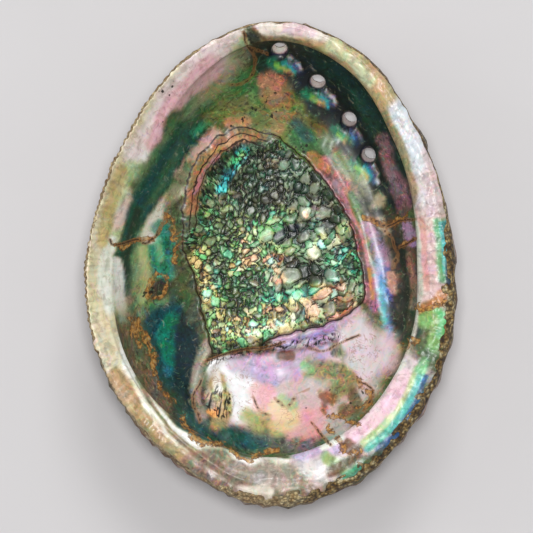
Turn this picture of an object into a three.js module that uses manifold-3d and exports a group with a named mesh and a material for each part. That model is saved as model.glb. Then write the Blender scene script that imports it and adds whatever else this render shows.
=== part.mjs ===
// An abalone shell: one grown piece, lying on its back with the mouth up.
// Millimetres, +Z up. +X is the pillar side, where a flat shelf overhangs the hollow; -X is the thin outer lip.
// +Y is the front, where the shell grows; the coiled tip is at the back, -Y. The origin is the middle of the
// shell's outline, on the plane that it rests on.

import * as THREE from "three";
import { mergeVertices } from "three/addons/utils/BufferGeometryUtils.js";
import Module from "manifold-3d";

const wasm = await Module();
wasm.setup();

// ---- Driving dimensions ----

const LENGTH = 160;
const WIDTH = 122;
const RIM_HEIGHT = 46; // mean height of the mouth above the resting plane
const RIM_WAVE = 1.6; // how far the rim rises and dips around its mean height
const RIM_SADDLE = 0.6; // share of the wave that has two periods round the rim
const RIM_TILT = 0.5; // share that has one
const RIM_TILT_TURN = 0.6; // radians

// Distance from the origin to the rim's outer edge, every 22.5 degrees anticlockwise from +X, for a shell
// of the drawn length and width; it is stretched to the length and width above.
const DRAWN_LENGTH = 160;
const DRAWN_WIDTH = 122;
const RIM_RADII = [
  60.6, 61.5, 66.4, 75.8, 79.5, 72.6, 63.9, 59.8, 60.5, 63.2, 67.2, 73.0, 80.0, 77.0, 70.0, 64.7,
];

// Half sections of the inside, from the middle of the floor to the rim: [place along the section from 0 to 1,
// share of the rim's radius, share of the rim's height]. On the pillar side the wall goes out under a shelf
// and folds back over it; the lip side opens smoothly.
const INNER_PILLAR = [
  [0.0, 0.0, 0.105],
  [0.2, 0.25, 0.112],
  [0.38, 0.5, 0.155],
  [0.52, 0.7, 0.26],
  [0.64, 0.85, 0.47],
  [0.74, 0.9, 0.7],
  [0.8, 0.875, 0.82],
  [0.86, 0.815, 0.885],
  [0.885, 0.8, 0.925],
  [0.91, 0.815, 0.965],
  [0.96, 0.885, 1.0],
  [1.0, 0.955, 1.0],
];
const INNER_FRONT_RIGHT = [
  [0.0, 0.0, 0.105],
  [0.2, 0.25, 0.115],
  [0.38, 0.5, 0.165],
  [0.52, 0.71, 0.28],
  [0.64, 0.85, 0.5],
  [0.74, 0.93, 0.72],
  [0.8, 0.915, 0.82],
  [0.86, 0.875, 0.885],
  [0.885, 0.865, 0.92],
  [0.91, 0.878, 0.955],
  [0.96, 0.92, 0.99],
  [1.0, 0.965, 1.0],
];
const INNER_FRONT = [
  [0.0, 0.0, 0.105],
  [0.2, 0.25, 0.13],
  [0.38, 0.49, 0.2],
  [0.52, 0.68, 0.32],
  [0.64, 0.81, 0.47],
  [0.74, 0.905, 0.66],
  [0.8, 0.935, 0.78],
  [0.86, 0.925, 0.87],
  [0.885, 0.918, 0.905],
  [0.91, 0.93, 0.94],
  [0.96, 0.955, 0.98],
  [1.0, 0.98, 1.0],
];
const INNER_LIP = [
  [0.0, 0.0, 0.105],
  [0.2, 0.21, 0.12],
  [0.38, 0.4, 0.18],
  [0.52, 0.535, 0.28],
  [0.64, 0.645, 0.41],
  [0.74, 0.735, 0.55],
  [0.8, 0.785, 0.64],
  [0.86, 0.835, 0.735],
  [0.885, 0.855, 0.775],
  [0.91, 0.88, 0.815],
  [0.96, 0.93, 0.9],
  [1.0, 0.985, 0.995],
];
const INNER_BACK_LEFT = [
  [0.0, 0.0, 0.105],
  [0.2, 0.25, 0.115],
  [0.38, 0.49, 0.165],
  [0.52, 0.68, 0.28],
  [0.64, 0.81, 0.47],
  [0.74, 0.885, 0.68],
  [0.8, 0.895, 0.79],
  [0.86, 0.875, 0.865],
  [0.885, 0.868, 0.9],
  [0.91, 0.885, 0.94],
  [0.96, 0.93, 0.985],
  [1.0, 0.975, 1.0],
];

// Half sections of the back, in the same shares.
const OUTER_PILLAR = [
  [0.0, 0.0, -0.012],
  [0.2, 0.24, -0.004],
  [0.4, 0.51, 0.055],
  [0.56, 0.75, 0.175],
  [0.7, 0.915, 0.4],
  [0.82, 0.98, 0.64],
  [0.92, 0.995, 0.84],
  [1.0, 1.0, 0.955],
];
const OUTER_FRONT = [
  [0.0, 0.0, -0.012],
  [0.2, 0.24, 0.01],
  [0.4, 0.47, 0.085],
  [0.56, 0.67, 0.2],
  [0.7, 0.82, 0.38],
  [0.82, 0.925, 0.6],
  [0.92, 0.975, 0.81],
  [1.0, 1.0, 0.965],
];
const OUTER_LIP = [
  [0.0, 0.0, -0.012],
  [0.2, 0.24, 0.002],
  [0.4, 0.45, 0.09],
  [0.56, 0.6, 0.225],
  [0.7, 0.735, 0.41],
  [0.82, 0.845, 0.605],
  [0.92, 0.935, 0.8],
  [1.0, 1.0, 0.965],
];

// The section to use in each direction, every 45 degrees anticlockwise from +X.
const INNER_AROUND = [
  INNER_PILLAR,
  INNER_FRONT_RIGHT,
  INNER_FRONT,
  INNER_LIP,
  INNER_LIP,
  INNER_BACK_LEFT,
  INNER_PILLAR,
  INNER_PILLAR,
];
const OUTER_AROUND = [
  OUTER_PILLAR,
  OUTER_PILLAR,
  OUTER_FRONT,
  OUTER_LIP,
  OUTER_LIP,
  OUTER_PILLAR,
  OUTER_PILLAR,
  OUTER_PILLAR,
];

// The row of breathing holes, newest first: four are open, and the older ones have closed over. Each is [x, y,
// how far it leans outwards for each millimetre that it goes down].
const HOLES = [
  [3.4, 69.0, 0.75],
  [15.6, 58.8, 0.45],
  [25.8, 46.6, 0.35],
  [32.0, 35.0, 0.3],
];
const CLOSED_LEAN = 0.3;
const CLOSED_HOLES = [
  [37.2, 20.5, CLOSED_LEAN],
  [41.0, 6.5, CLOSED_LEAN],
  [42.0, -8.0, CLOSED_LEAN],
];
const ROW_END = [41.0, -30.0];
const HOLE_RADIUS = 2.2;
const HOLE_MOUTH_RADIUS = 3.1; // of the funnel where a hole leaves the inside
const FUNNEL_LENGTH = 3;
const BORE_ABOVE = 10; // how far the bore reaches from the back into the hollow
const BORE_BELOW = 16; // and out past the tube's end
const TUBE_RADIUS = 3.5; // outside, near the open end
const TUBE_BASE_RADIUS = 7;
const TUBE_HEIGHT = 3.4; // above the ridge that carries the row
const TUBE_SUNK = 1.6; // depth of the tube's foot inside the wall
const KNOB_SUNK = 2; // the same for the knob of a closed hole
const KNOB_PROFILE = [
  [0, 0],
  [5, 0],
  [4.4, 3.4],
  [2.4, 5],
  [0, 5.4],
]; // radius and height
const KEEL_DEPTH = 1.7; // how far the row stands out of the back of the shell
const KEEL_SPREAD = 5.5;
const KEEL_FADE = { from: -12, to: -36 }; // where along Y the row's keel dies away
const TURNED_SIDES = 20;

// Relief of the inside: the rough muscle scar stands up as a pad, a rounded ridge runs beside the row of
// holes, and a smooth basin leads back into the coil.
const SCAR_OUTLINE = [
  [-11, 45],
  [3, 42],
  [16, 31],
  [26, 15],
  [32, -6],
  [28, -17],
  [12, -22.5],
  [-6, -29],
  [-19, -33],
  [-24, -15],
  [-29.5, 7],
  [-26, 28],
];
const SCAR_RISE = 1.3;
const SCAR_EDGE = 2.2; // width of the slope around the pad
const RIDGE = [
  [21, 34],
  [28, 18],
  [34, 0],
  [38, -18],
  [39, -30],
];
const RIDGE_RISE = 1.5;
const RIDGE_SPREAD = 3.6;
const BASIN = { middle: [10, -44], radii: [25, 15], depth: 1.1, flatShare: 0.3, edgeShare: 1.1 };
const RELIEF_FADE = { from: 0.72, to: 0.9 }; // place along a section where the inside's relief dies away

// Relief of the back: growth waves are smaller and smaller copies of the rim around the coiled tip, and the
// ribs fan out from the tip across them.
const TIP = [-21, -49];
const COIL_RADIUS = 17;
const COIL_RISE = 3.2;
const COIL_GROWTH = 2.7; // how much wider each turn of the coil is than the one inside it
const COIL_GROOVE = 1.3;
const COIL_GROOVE_WIDTH = 0.22; // share of a turn
const RIB_COUNT = 44;
const RIB_RISE = 0.45;
const RIB_SLANT = 0.55; // radians that a rib turns for each e-fold of growth
const GROWTH_WAVES = 9;
const GROWTH_RISE = 0.5;
const GROWTH_CROWDING = 1.4; // above 1, the waves crowd together towards the rim

const RINGS = 21; // rings of cells from the middle of each face to the rim

// ---- Small helpers ----

/** 0 below low, 1 above high, and a smooth step between them. */
function smoothStep(low, high, value) {
  const t = THREE.MathUtils.clamp((value - low) / (high - low), 0, 1);
  return t * t * (3 - 2 * t);
}

/** A bell of height 1 at distance 0. */
function bell(distance, spread) {
  return Math.exp(-((distance / spread) ** 2));
}

/** Values spaced evenly round a circle, read at an angle with a Catmull-Rom curve. */
function readAround(values, angle) {
  const n = values.length;
  const place = ((((angle / (2 * Math.PI)) % 1) + 1) % 1) * n;
  const i = Math.floor(place);
  const t = place - i;
  const [a, b, c, d] = [-1, 0, 1, 2].map((step) => values[(i + step + n) % n]);
  return 0.5 * (2 * b + (c - a) * t + (2 * a - 5 * b + 4 * c - d) * t * t + (3 * b - 3 * c + d - a) * t ** 3);
}

/** A section's [radius share, height share] at a place along it, by a cubic through its points. */
function readSection(section, place) {
  let i = section.findIndex(([t]) => t > place) - 1;
  if (i < 0) i = section.length - 2;
  const tangent = (k, axis) => {
    const before = section[Math.max(k - 1, 0)];
    const after = section[Math.min(k + 1, section.length - 1)];
    return (after[axis] - before[axis]) / (after[0] - before[0]);
  };
  const [from, to] = [section[i], section[i + 1]];
  const span = to[0] - from[0];
  const t = (place - from[0]) / span;
  return [1, 2].map(
    (axis) =>
      (2 * t ** 3 - 3 * t * t + 1) * from[axis] +
      (t ** 3 - 2 * t * t + t) * span * tangent(i, axis) +
      (3 * t * t - 2 * t ** 3) * to[axis] +
      (t ** 3 - t * t) * span * tangent(i + 1, axis),
  );
}

/** Distance in plan from a point to a line of straight stretches. */
function distanceToLine(x, y, line) {
  let nearest = Infinity;
  for (let i = 0; i + 1 < line.length; i += 1) {
    const [[ax, ay], [bx, by]] = [line[i], line[i + 1]];
    const [dx, dy] = [bx - ax, by - ay];
    const t = THREE.MathUtils.clamp(((x - ax) * dx + (y - ay) * dy) / (dx * dx + dy * dy), 0, 1);
    nearest = Math.min(nearest, Math.hypot(x - ax - t * dx, y - ay - t * dy));
  }
  return nearest;
}

/** Distance in plan to a closed outline, positive inside it. */
function depthInside(x, y, outline) {
  let inside = false;
  outline.forEach(([ax, ay], i) => {
    const [bx, by] = outline[(i + 1) % outline.length];
    if (ay > y !== by > y && x < ax + ((y - ay) * (bx - ax)) / (by - ay)) inside = !inside;
  });
  const distance = distanceToLine(x, y, [...outline, outline[0]]);
  return inside ? distance : -distance;
}

// ---- The shell's two faces ----

const ROW_LINE = [...HOLES, ...CLOSED_HOLES, ROW_END];
const ACROSS = 2 * RINGS;
const EIGHTH = Math.PI / 4;

function rimRadius(angle) {
  const stretchX = WIDTH / DRAWN_WIDTH;
  const stretchY = LENGTH / DRAWN_LENGTH;
  return readAround(RIM_RADII, angle) * Math.hypot(Math.cos(angle) * stretchX, Math.sin(angle) * stretchY);
}

function rimHeight(angle) {
  const wave = RIM_SADDLE * Math.cos(2 * angle) - RIM_TILT * Math.sin(angle + RIM_TILT_TURN);
  return RIM_HEIGHT + RIM_WAVE * wave;
}

/** A point of a face before its relief, from a direction and a place from 0 at the middle to 1 at the rim. */
function facePoint(sectionsAround, angle, place) {
  const shares = sectionsAround.map((section) => readSection(section, place));
  const radius = rimRadius(angle) * readAround(shares.map(([radiusShare]) => radiusShare), angle);
  const height = rimHeight(angle) * readAround(shares.map(([, heightShare]) => heightShare), angle);
  return new THREE.Vector3(radius * Math.cos(angle), radius * Math.sin(angle), height);
}

/** How far the wall stands out of the back along the row of holes. */
function keel(x, y) {
  const towardsEnd = smoothStep(KEEL_FADE.to, KEEL_FADE.from, y);
  return KEEL_DEPTH * towardsEnd * bell(distanceToLine(x, y, ROW_LINE), KEEL_SPREAD);
}

/** Relief of the inside, along the face's own outward normal, which points into the hollow. */
function innerRelief(x, y) {
  const scar = SCAR_RISE * smoothStep(-SCAR_EDGE / 2, SCAR_EDGE / 2, depthInside(x, y, SCAR_OUTLINE));
  const ridge = RIDGE_RISE * bell(distanceToLine(x, y, RIDGE), RIDGE_SPREAD);
  const basinReach = Math.hypot((x - BASIN.middle[0]) / BASIN.radii[0], (y - BASIN.middle[1]) / BASIN.radii[1]);
  const basin = BASIN.depth * (1 - smoothStep(BASIN.flatShare, BASIN.edgeShare, basinReach));
  return scar + ridge - basin - keel(x, y);
}

/** The coil of the tip: a low dome whose turns are parted by a spiral groove. */
function coil(x, y) {
  const [dx, dy] = [x - TIP[0], y - TIP[1]];
  const reach = Math.hypot(dx, dy);
  const turn = Math.log(Math.max(reach, 0.6)) / Math.log(COIL_GROWTH) + Math.atan2(dy, dx) / (2 * Math.PI);
  const acrossTurn = turn - Math.floor(turn);
  const groove = COIL_GROOVE * (1 - smoothStep(0, COIL_GROOVE_WIDTH, Math.min(acrossTurn, 1 - acrossTurn)));
  const fade = 1 - smoothStep(0.55, 1, reach / COIL_RADIUS);
  return COIL_RISE * bell(reach, COIL_RADIUS * 0.6) - groove * fade;
}

/** Growth waves and ribs on the back. */
function sculpture(x, y) {
  const [dx, dy] = [x - TIP[0], y - TIP[1]];
  const angle = Math.atan2(dy, dx);
  const reach = Math.hypot(dx, dy);
  let toRim = 20;
  for (let step = 0; step < 6; step += 1) {
    const [px, py] = [TIP[0] + toRim * Math.cos(angle), TIP[1] + toRim * Math.sin(angle)];
    toRim *= rimRadius(Math.atan2(py, px)) / Math.hypot(px, py);
  }
  const grown = THREE.MathUtils.clamp(reach / toRim, 0.02, 1);
  const ribWave = Math.cos(RIB_COUNT * (angle + RIB_SLANT * Math.log(grown)));
  const growthWave = Math.cos(2 * Math.PI * GROWTH_WAVES * grown ** GROWTH_CROWDING);
  const ribs = RIB_RISE * ribWave * smoothStep(0.25, 0.8, grown);
  return ribs + GROWTH_RISE * growthWave * smoothStep(0.2, 0.6, grown);
}

/** Relief of the back, along the face's outward normal. */
function outerRelief(x, y) {
  const inset = 1 - Math.hypot(x, y) / rimRadius(Math.atan2(y, x));
  return keel(x, y) + coil(x, y) + sculpture(x, y) * smoothStep(-0.01, 0.06, inset);
}

/** A square grid bent into a disc so that its square rings become circles: [direction, place] of each point. */
function discGrid() {
  const points = [];
  for (let j = -RINGS; j <= RINGS; j += 1) {
    for (let i = -RINGS; i <= RINGS; i += 1) {
      const ring = Math.max(Math.abs(i), Math.abs(j));
      let angle = 0;
      if (ring > 0) angle = Math.abs(i) >= Math.abs(j) ? (j / i) * EIGHTH : 2 * EIGHTH - (i / j) * EIGHTH;
      if (ring > 0 && (Math.abs(i) >= Math.abs(j) ? i < 0 : j < 0)) angle += Math.PI;
      points.push([angle, ring / RINGS]);
    }
  }
  return points;
}

/** The grid's triangles, turned over for the face that looks down. */
function gridTriangles(offset, turnedOver) {
  const triangles = [];
  for (let j = 0; j < ACROSS; j += 1) {
    for (let i = 0; i < ACROSS; i += 1) {
      const a = offset + j * (ACROSS + 1) + i;
      const [b, c, d] = [a + 1, a + ACROSS + 2, a + ACROSS + 1];
      const alongOneDiagonal = i < RINGS === j < RINGS;
      const pair = alongOneDiagonal ? [a, b, c, a, c, d] : [a, b, d, b, c, d];
      triangles.push(...(turnedOver ? pair.reverse() : pair));
    }
  }
  return triangles;
}

/** The grid's edge, anticlockwise from its first corner. */
function gridEdge(offset) {
  const edge = [];
  const at = (i, j) => offset + j * (ACROSS + 1) + i;
  for (let i = 0; i < ACROSS; i += 1) edge.push(at(i, 0));
  for (let j = 0; j < ACROSS; j += 1) edge.push(at(ACROSS, j));
  for (let i = ACROSS; i > 0; i -= 1) edge.push(at(i, ACROSS));
  for (let j = ACROSS; j > 0; j -= 1) edge.push(at(0, j));
  return edge;
}

/** Moves each point of a face along its normal by the relief, which dies away towards the rim. */
function addRelief(points, grid, triangles, relief) {
  const geometry = new THREE.BufferGeometry().setFromPoints(points).setIndex(triangles);
  geometry.computeVertexNormals();
  const normals = geometry.getAttribute("normal");
  return points.map((point, i) => {
    const share = 1 - smoothStep(RELIEF_FADE.from, RELIEF_FADE.to, grid[i][1]);
    const normal = new THREE.Vector3().fromBufferAttribute(normals, i);
    return point.clone().addScaledVector(normal, relief(point.x, point.y, share));
  });
}

/** The closed shell with no holes through it. */
function closedShell() {
  const grid = discGrid();
  const upTriangles = gridTriangles(0, false);
  const downTriangles = gridTriangles(0, true);
  const inner = addRelief(
    grid.map(([angle, place]) => facePoint(INNER_AROUND, angle, place)),
    grid,
    upTriangles,
    (x, y, share) => innerRelief(x, y) * share,
  );
  const outer = addRelief(
    grid.map(([angle, place]) => facePoint(OUTER_AROUND, angle, place)),
    grid,
    downTriangles,
    outerRelief,
  );
  outer.forEach((point) => {
    point.z = Math.max(point.z, 0); // the worn flat that the shell rests on
  });
  const triangles = [...upTriangles, ...gridTriangles(inner.length, true)];
  const [innerEdge, outerEdge] = [gridEdge(0), gridEdge(inner.length)];
  innerEdge.forEach((a, i) => {
    const next = (i + 1) % innerEdge.length;
    const [b, c, d] = [innerEdge[next], outerEdge[next], outerEdge[i]];
    triangles.push(a, d, b, b, d, c);
  });
  return new THREE.BufferGeometry().setFromPoints([...inner, ...outer]).setIndex(triangles);
}

// ---- The holes ----

/** Height of the back above a point in plan. */
function backHeight(x, y) {
  const angle = Math.atan2(y, x);
  const wanted = Math.hypot(x, y);
  let [low, high] = [0, 1];
  for (let step = 0; step < 30; step += 1) {
    const middle = (low + high) / 2;
    const point = facePoint(OUTER_AROUND, angle, middle);
    if (Math.hypot(point.x, point.y) < wanted) low = middle;
    else high = middle;
  }
  return facePoint(OUTER_AROUND, angle, low).z;
}

/** A turned shape that goes down through the back at a hole, from a start inside the shell. */
function onBack([x, y, lean], profile, start) {
  const outwards = new THREE.Vector2(x, y).normalize();
  const axis = new THREE.Vector3(outwards.x * lean, outwards.y * lean, -1).normalize();
  const foot = new THREE.Vector3(x, y, backHeight(x, y)).addScaledVector(axis, -start);
  const geometry = new THREE.LatheGeometry(
    profile.map(([radius, along]) => new THREE.Vector2(radius, along)),
    TURNED_SIDES,
  );
  geometry.applyQuaternion(new THREE.Quaternion().setFromUnitVectors(new THREE.Vector3(0, 1, 0), axis));
  return geometry.translate(foot.x, foot.y, foot.z);
}

/** A low, flared cone around an open hole. */
function tube(hole) {
  const end = TUBE_SUNK + KEEL_DEPTH + TUBE_HEIGHT;
  const profile = [
    [0, 0],
    [TUBE_BASE_RADIUS, 0],
    [TUBE_BASE_RADIUS * 0.86, TUBE_SUNK],
    [TUBE_RADIUS * 1.25, end * 0.5],
    [TUBE_RADIUS * 1.06, end * 0.88],
    [TUBE_RADIUS * 0.9, end],
    [0, end],
  ];
  return onBack(hole, profile, TUBE_SUNK);
}

/** The bore of an open hole, a little wider where it leaves the inside. */
function bore(hole) {
  const end = BORE_ABOVE + BORE_BELOW;
  const profile = [
    [0, 0],
    [HOLE_MOUTH_RADIUS, 0],
    [HOLE_MOUTH_RADIUS, BORE_ABOVE - FUNNEL_LENGTH],
    [HOLE_RADIUS, BORE_ABOVE],
    [HOLE_RADIUS, end],
    [0, end],
  ];
  return onBack(hole, profile, BORE_ABOVE);
}

/** The rounded knob left by a hole that has closed. */
function knob(hole) {
  return onBack(hole, KNOB_PROFILE, KNOB_SUNK);
}

// ---- Solids ----

function toSolid(geometry) {
  const bare = geometry.clone();
  bare.deleteAttribute("normal");
  bare.deleteAttribute("uv");
  const merged = mergeVertices(bare, 1e-4);
  return new wasm.Manifold(
    new wasm.Mesh({
      numProp: 3,
      vertProperties: merged.getAttribute("position").array,
      triVerts: new Uint32Array(merged.index.array),
    }),
  );
}

function toGeometry(solid) {
  const mesh = solid.getMesh();
  return new THREE.BufferGeometry()
    .setAttribute("position", new THREE.BufferAttribute(new Float32Array(mesh.vertProperties), 3))
    .setIndex(new THREE.BufferAttribute(new Uint32Array(mesh.triVerts), 1));
}

/** The whole shell: its two faces, the tubes and knobs on its back, and the open holes through it. */
function shell() {
  let solid = toSolid(closedShell());
  HOLES.forEach((hole) => {
    solid = solid.add(toSolid(tube(hole)));
  });
  CLOSED_HOLES.forEach((hole) => {
    solid = solid.add(toSolid(knob(hole)));
  });
  HOLES.forEach((hole) => {
    solid = solid.subtract(toSolid(bore(hole)));
  });
  return toGeometry(solid);
}

const nacreAndCrust = new THREE.MeshStandardMaterial({ color: 0xb9b4a0, roughness: 0.35, metalness: 0.1 });
const shellMesh = new THREE.Mesh(shell(), nacreAndCrust);
shellMesh.name = "abalone_shell";

const part = new THREE.Group();
part.add(shellMesh);

export default part;
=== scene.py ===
"""Abalone shell lying on its back, with its pearly inside, muscle scar, breathing holes and crusted rim.

The surface is worked out with numpy in millimetres: a direction round the shell and a place along a half
section, from the middle of the floor to the rim, give each point. +X is the pillar side, where a flat shelf
overhangs the hollow, and +Y is the front, where the shell grows.
"""

from __future__ import annotations

import logging
import math
from dataclasses import dataclass, field
from enum import Enum

import bpy
import numpy as np
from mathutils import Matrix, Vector

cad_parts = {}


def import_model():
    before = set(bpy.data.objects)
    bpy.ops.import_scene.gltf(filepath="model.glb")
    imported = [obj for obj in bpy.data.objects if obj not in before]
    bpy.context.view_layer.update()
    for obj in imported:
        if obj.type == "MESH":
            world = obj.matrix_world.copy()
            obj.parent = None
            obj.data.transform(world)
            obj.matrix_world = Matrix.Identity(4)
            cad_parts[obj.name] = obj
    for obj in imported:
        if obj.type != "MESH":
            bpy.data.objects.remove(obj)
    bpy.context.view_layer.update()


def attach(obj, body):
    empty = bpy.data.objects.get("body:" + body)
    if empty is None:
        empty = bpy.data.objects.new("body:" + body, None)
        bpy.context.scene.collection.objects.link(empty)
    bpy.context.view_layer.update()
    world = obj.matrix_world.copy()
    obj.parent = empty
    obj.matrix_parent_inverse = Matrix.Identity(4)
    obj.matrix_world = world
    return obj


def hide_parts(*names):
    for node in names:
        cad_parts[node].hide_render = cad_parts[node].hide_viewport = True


LOG = logging.getLogger("abalone")
Array = np.ndarray
Points = tuple[tuple[float, float], ...]
Colour = tuple[int, int, int]
MM = 0.001
WORD = 0xFFFFFFFF  # the greatest 32-bit number, which the hash is cut to and divided by
HASH = (374761393, 668265263, 974634777, 1274126177, 2246822519)  # large odd factors that mix its bits


# ---- Numbers on arrays ----


def smooth(low: float, high: float, value: Array) -> Array:
    """Smooth step: 0 below low, 1 above high, and 3t^2 - 2t^3 between them.

    Args:
        low: where the step starts.
        high: where the step ends; it may be less than low for a step down.
        value: the values to step.

    Returns:
        The step at each value.
    """
    t = np.clip((value - low) / (high - low), 0.0, 1.0)
    return t * t * (3.0 - 2.0 * t)


def bell(distance: Array, spread: float) -> Array:
    """A bell: e to the minus square of distance over spread."""
    return np.exp(-((distance / spread) ** 2))


def to_linear(colour: Colour) -> Array:
    """An sRGB colour of 0 to 255 as linear light: the usual 2.4 power with its straight foot."""
    c = np.asarray(colour, dtype=float) / 255.0
    return np.where(c <= 0.04045, c / 12.92, ((c + 0.055) / 1.055) ** 2.4)


@dataclass(frozen=True)
class Grain:
    """Seeded smooth noise in the plane, from a hash of whole-number corners."""

    seed: int

    def corner(self, ix: Array, iy: Array) -> Array:
        """A fixed random number from 0 to 1 for each pair of whole numbers, by integer mixing."""
        h = ix.astype(np.int64) * HASH[0] + iy.astype(np.int64) * HASH[1] + self.seed * HASH[2]
        h = (h ^ (h >> 13)) & WORD
        h = (h * HASH[3]) & WORD
        h = h ^ (h >> 16)
        h = (h * HASH[4]) & WORD
        return (h ^ (h >> 15)) / WORD

    def value(self, x: Array, y: Array) -> Array:
        """Noise from -1 to 1: the four corners' numbers, mixed by smooth steps across the cell."""
        ix, iy = np.floor(x), np.floor(y)
        u, v = x - ix, y - iy
        u, v = u * u * (3 - 2 * u), v * v * (3 - 2 * v)
        low = self.corner(ix, iy) * (1 - u) + self.corner(ix + 1, iy) * u
        high = self.corner(ix, iy + 1) * (1 - u) + self.corner(ix + 1, iy + 1) * u
        return 2 * (low * (1 - v) + high * v) - 1

    def layers(self, x: Array, y: Array, size: float, octaves: int = 3) -> Array:
        """Layered noise: each octave has half the size and half the height of the one before.

        Args:
            x: places across.
            y: places along.
            size: the width of the largest lumps, in millimetres.
            octaves: how many layers there are.

        Returns:
            The sum of the layers, mostly within -1 to 1.
        """
        total = np.zeros_like(x, dtype=float)
        for k in range(octaves):
            turned_x = 0.8 * x + 0.6 * y if k % 2 else x
            turned_y = 0.8 * y - 0.6 * x if k % 2 else y
            step = 2.0**k
            total += Grain(self.seed + 17 * k).value(turned_x * step / size, turned_y * step / size) / step
        return total * 1.15

    def scales(
        self, x: Array, y: Array, size: float, spread: tuple[float, float], lean: tuple[float, float]
    ) -> tuple[Array, Array, Array, Array, Array]:
        """Overlapping round scales, one for each square of a grid. A point belongs to the topmost scale that
        covers it; a point that none covers belongs to the nearest.

        Args:
            x: places across.
            y: places along.
            size: the grid's square, in millimetres.
            spread: least and greatest radius of a scale, in squares.
            lean: how much higher the scales lie for each square to +X and +Y.

        Returns:
            Distance to the scale's edge, distance to its centre, a random tone from 0 to 1, and the two
            offsets from the centre, all in millimetres but the tone.
        """
        gx, gy = x / size, y / size
        bx, by = np.floor(gx), np.floor(gy)
        top = np.full(x.shape, -1e9)
        kept = [np.zeros_like(gx) for _ in range(5)]
        for j in (-2, -1, 0, 1, 2):
            for i in (-2, -1, 0, 1, 2):
                cx, cy = bx + i, by + j
                dx = gx - cx - 0.1 - 0.8 * self.corner(cx, cy)
                dy = gy - cy - 0.1 - 0.8 * Grain(self.seed + 5).corner(cx, cy)
                tone = Grain(self.seed + 9).corner(cx, cy)
                radius = spread[0] + (spread[1] - spread[0]) * Grain(self.seed + 13).corner(cx, cy)
                away = np.hypot(dx, dy)
                order = 1.6 * Grain(self.seed + 21).corner(cx, cy) + lean[0] * i + lean[1] * j
                order = np.where(away < radius, order, -50 - away)
                higher = order > top
                top = np.where(higher, order, top)
                now = (np.maximum(radius - away, 0), away, tone, dx, dy)
                kept = [np.where(higher, a, b) for a, b in zip(now, kept)]
        return kept[0] * size, kept[1] * size, kept[2], kept[3] * size, kept[4] * size


def catmull_rom(a: Array, b: Array, c: Array, d: Array, t: Array) -> Array:
    """The curve's point at share t of the way from b to c, with a before them and d after."""
    return 0.5 * (
        2 * b + (c - a) * t + (2 * a - 5 * b + 4 * c - d) * t**2 + (3 * b - 3 * c + d - a) * t**3
    )


def curve(points: Points, closed: bool = False, steps: int = 5) -> Array:
    """A Catmull-Rom curve through the points.

    Args:
        points: the points that the curve goes through, in millimetres.
        closed: whether it comes back to its first point.
        steps: how many short stretches stand for each span.

    Returns:
        The curve's points as an array of x and y.
    """
    p = np.asarray(points, dtype=float)
    if len(p) < 3:
        return p
    if closed:
        p = np.vstack([p[-1], p, p[0], p[1]])
    else:
        p = np.vstack([2 * p[0] - p[1], p, 2 * p[-1] - p[-2]])
    t = np.linspace(0, 1, steps, endpoint=False)[:, None]
    spans = []
    for a, b, c, d in zip(p[:-3], p[1:-2], p[2:-1], p[3:]):
        spans.append(catmull_rom(a, b, c, d, t))
    return np.vstack([*spans, p[-2]])


def distance_to(line: Array, x: Array, y: Array) -> Array:
    """Distance in plan from each place to a line of short straight stretches.

    Args:
        line: the line's points.
        x: places across.
        y: places along.

    Returns:
        The least distance to any stretch.
    """
    nearest = np.full(x.shape, 1e9)
    ends = line[1:] if len(line) > 1 else line
    starts = line[:-1] if len(line) > 1 else line
    for (ax, ay), (bx, by) in zip(starts, ends):
        dx, dy = bx - ax, by - ay
        t = np.clip(((x - ax) * dx + (y - ay) * dy) / max(dx * dx + dy * dy, 1e-9), 0, 1)
        nearest = np.minimum(nearest, (x - ax - t * dx) ** 2 + (y - ay - t * dy) ** 2)
    return np.sqrt(nearest)


def depth_inside(outline: Array, x: Array, y: Array) -> Array:
    """Distance in plan to a closed outline, positive inside it: a ray to +X that crosses it an odd number of
    times starts inside.

    Args:
        outline: the outline's points, the last one the same as the first.
        x: places across.
        y: places along.

    Returns:
        The signed distance.
    """
    inside = np.zeros(x.shape, dtype=bool)
    for (ax, ay), (bx, by) in zip(outline[:-1], outline[1:]):
        if ay != by:
            crosses = ((ay > y) != (by > y)) & (x < ax + (y - ay) * (bx - ax) / (by - ay))
            inside ^= crosses
    distance = distance_to(outline, x, y)
    return np.where(inside, distance, -distance)


# ---- The shell's form ----

Section = tuple[tuple[float, float, float], ...]

INNER_PLACES = (0, 0.2, 0.38, 0.52, 0.64, 0.74, 0.8, 0.86, 0.885, 0.91, 0.96, 1)
OUTER_PLACES = (0, 0.2, 0.4, 0.56, 0.7, 0.82, 0.92, 1)
PILLAR: Section = tuple(zip(
    INNER_PLACES,
    (0, 0.25, 0.5, 0.7, 0.85, 0.9, 0.875, 0.815, 0.8, 0.815, 0.885, 0.955),
    (0.105, 0.112, 0.155, 0.26, 0.47, 0.7, 0.82, 0.885, 0.925, 0.965, 1, 1),
))
FRONT_RIGHT: Section = tuple(zip(
    INNER_PLACES,
    (0, 0.25, 0.5, 0.71, 0.85, 0.93, 0.915, 0.875, 0.865, 0.878, 0.92, 0.965),
    (0.105, 0.115, 0.165, 0.28, 0.5, 0.72, 0.82, 0.885, 0.92, 0.955, 0.99, 1),
))
FRONT: Section = tuple(zip(
    INNER_PLACES,
    (0, 0.25, 0.49, 0.68, 0.81, 0.905, 0.935, 0.925, 0.918, 0.93, 0.955, 0.98),
    (0.105, 0.13, 0.2, 0.32, 0.47, 0.66, 0.78, 0.87, 0.905, 0.94, 0.98, 1),
))
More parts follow.
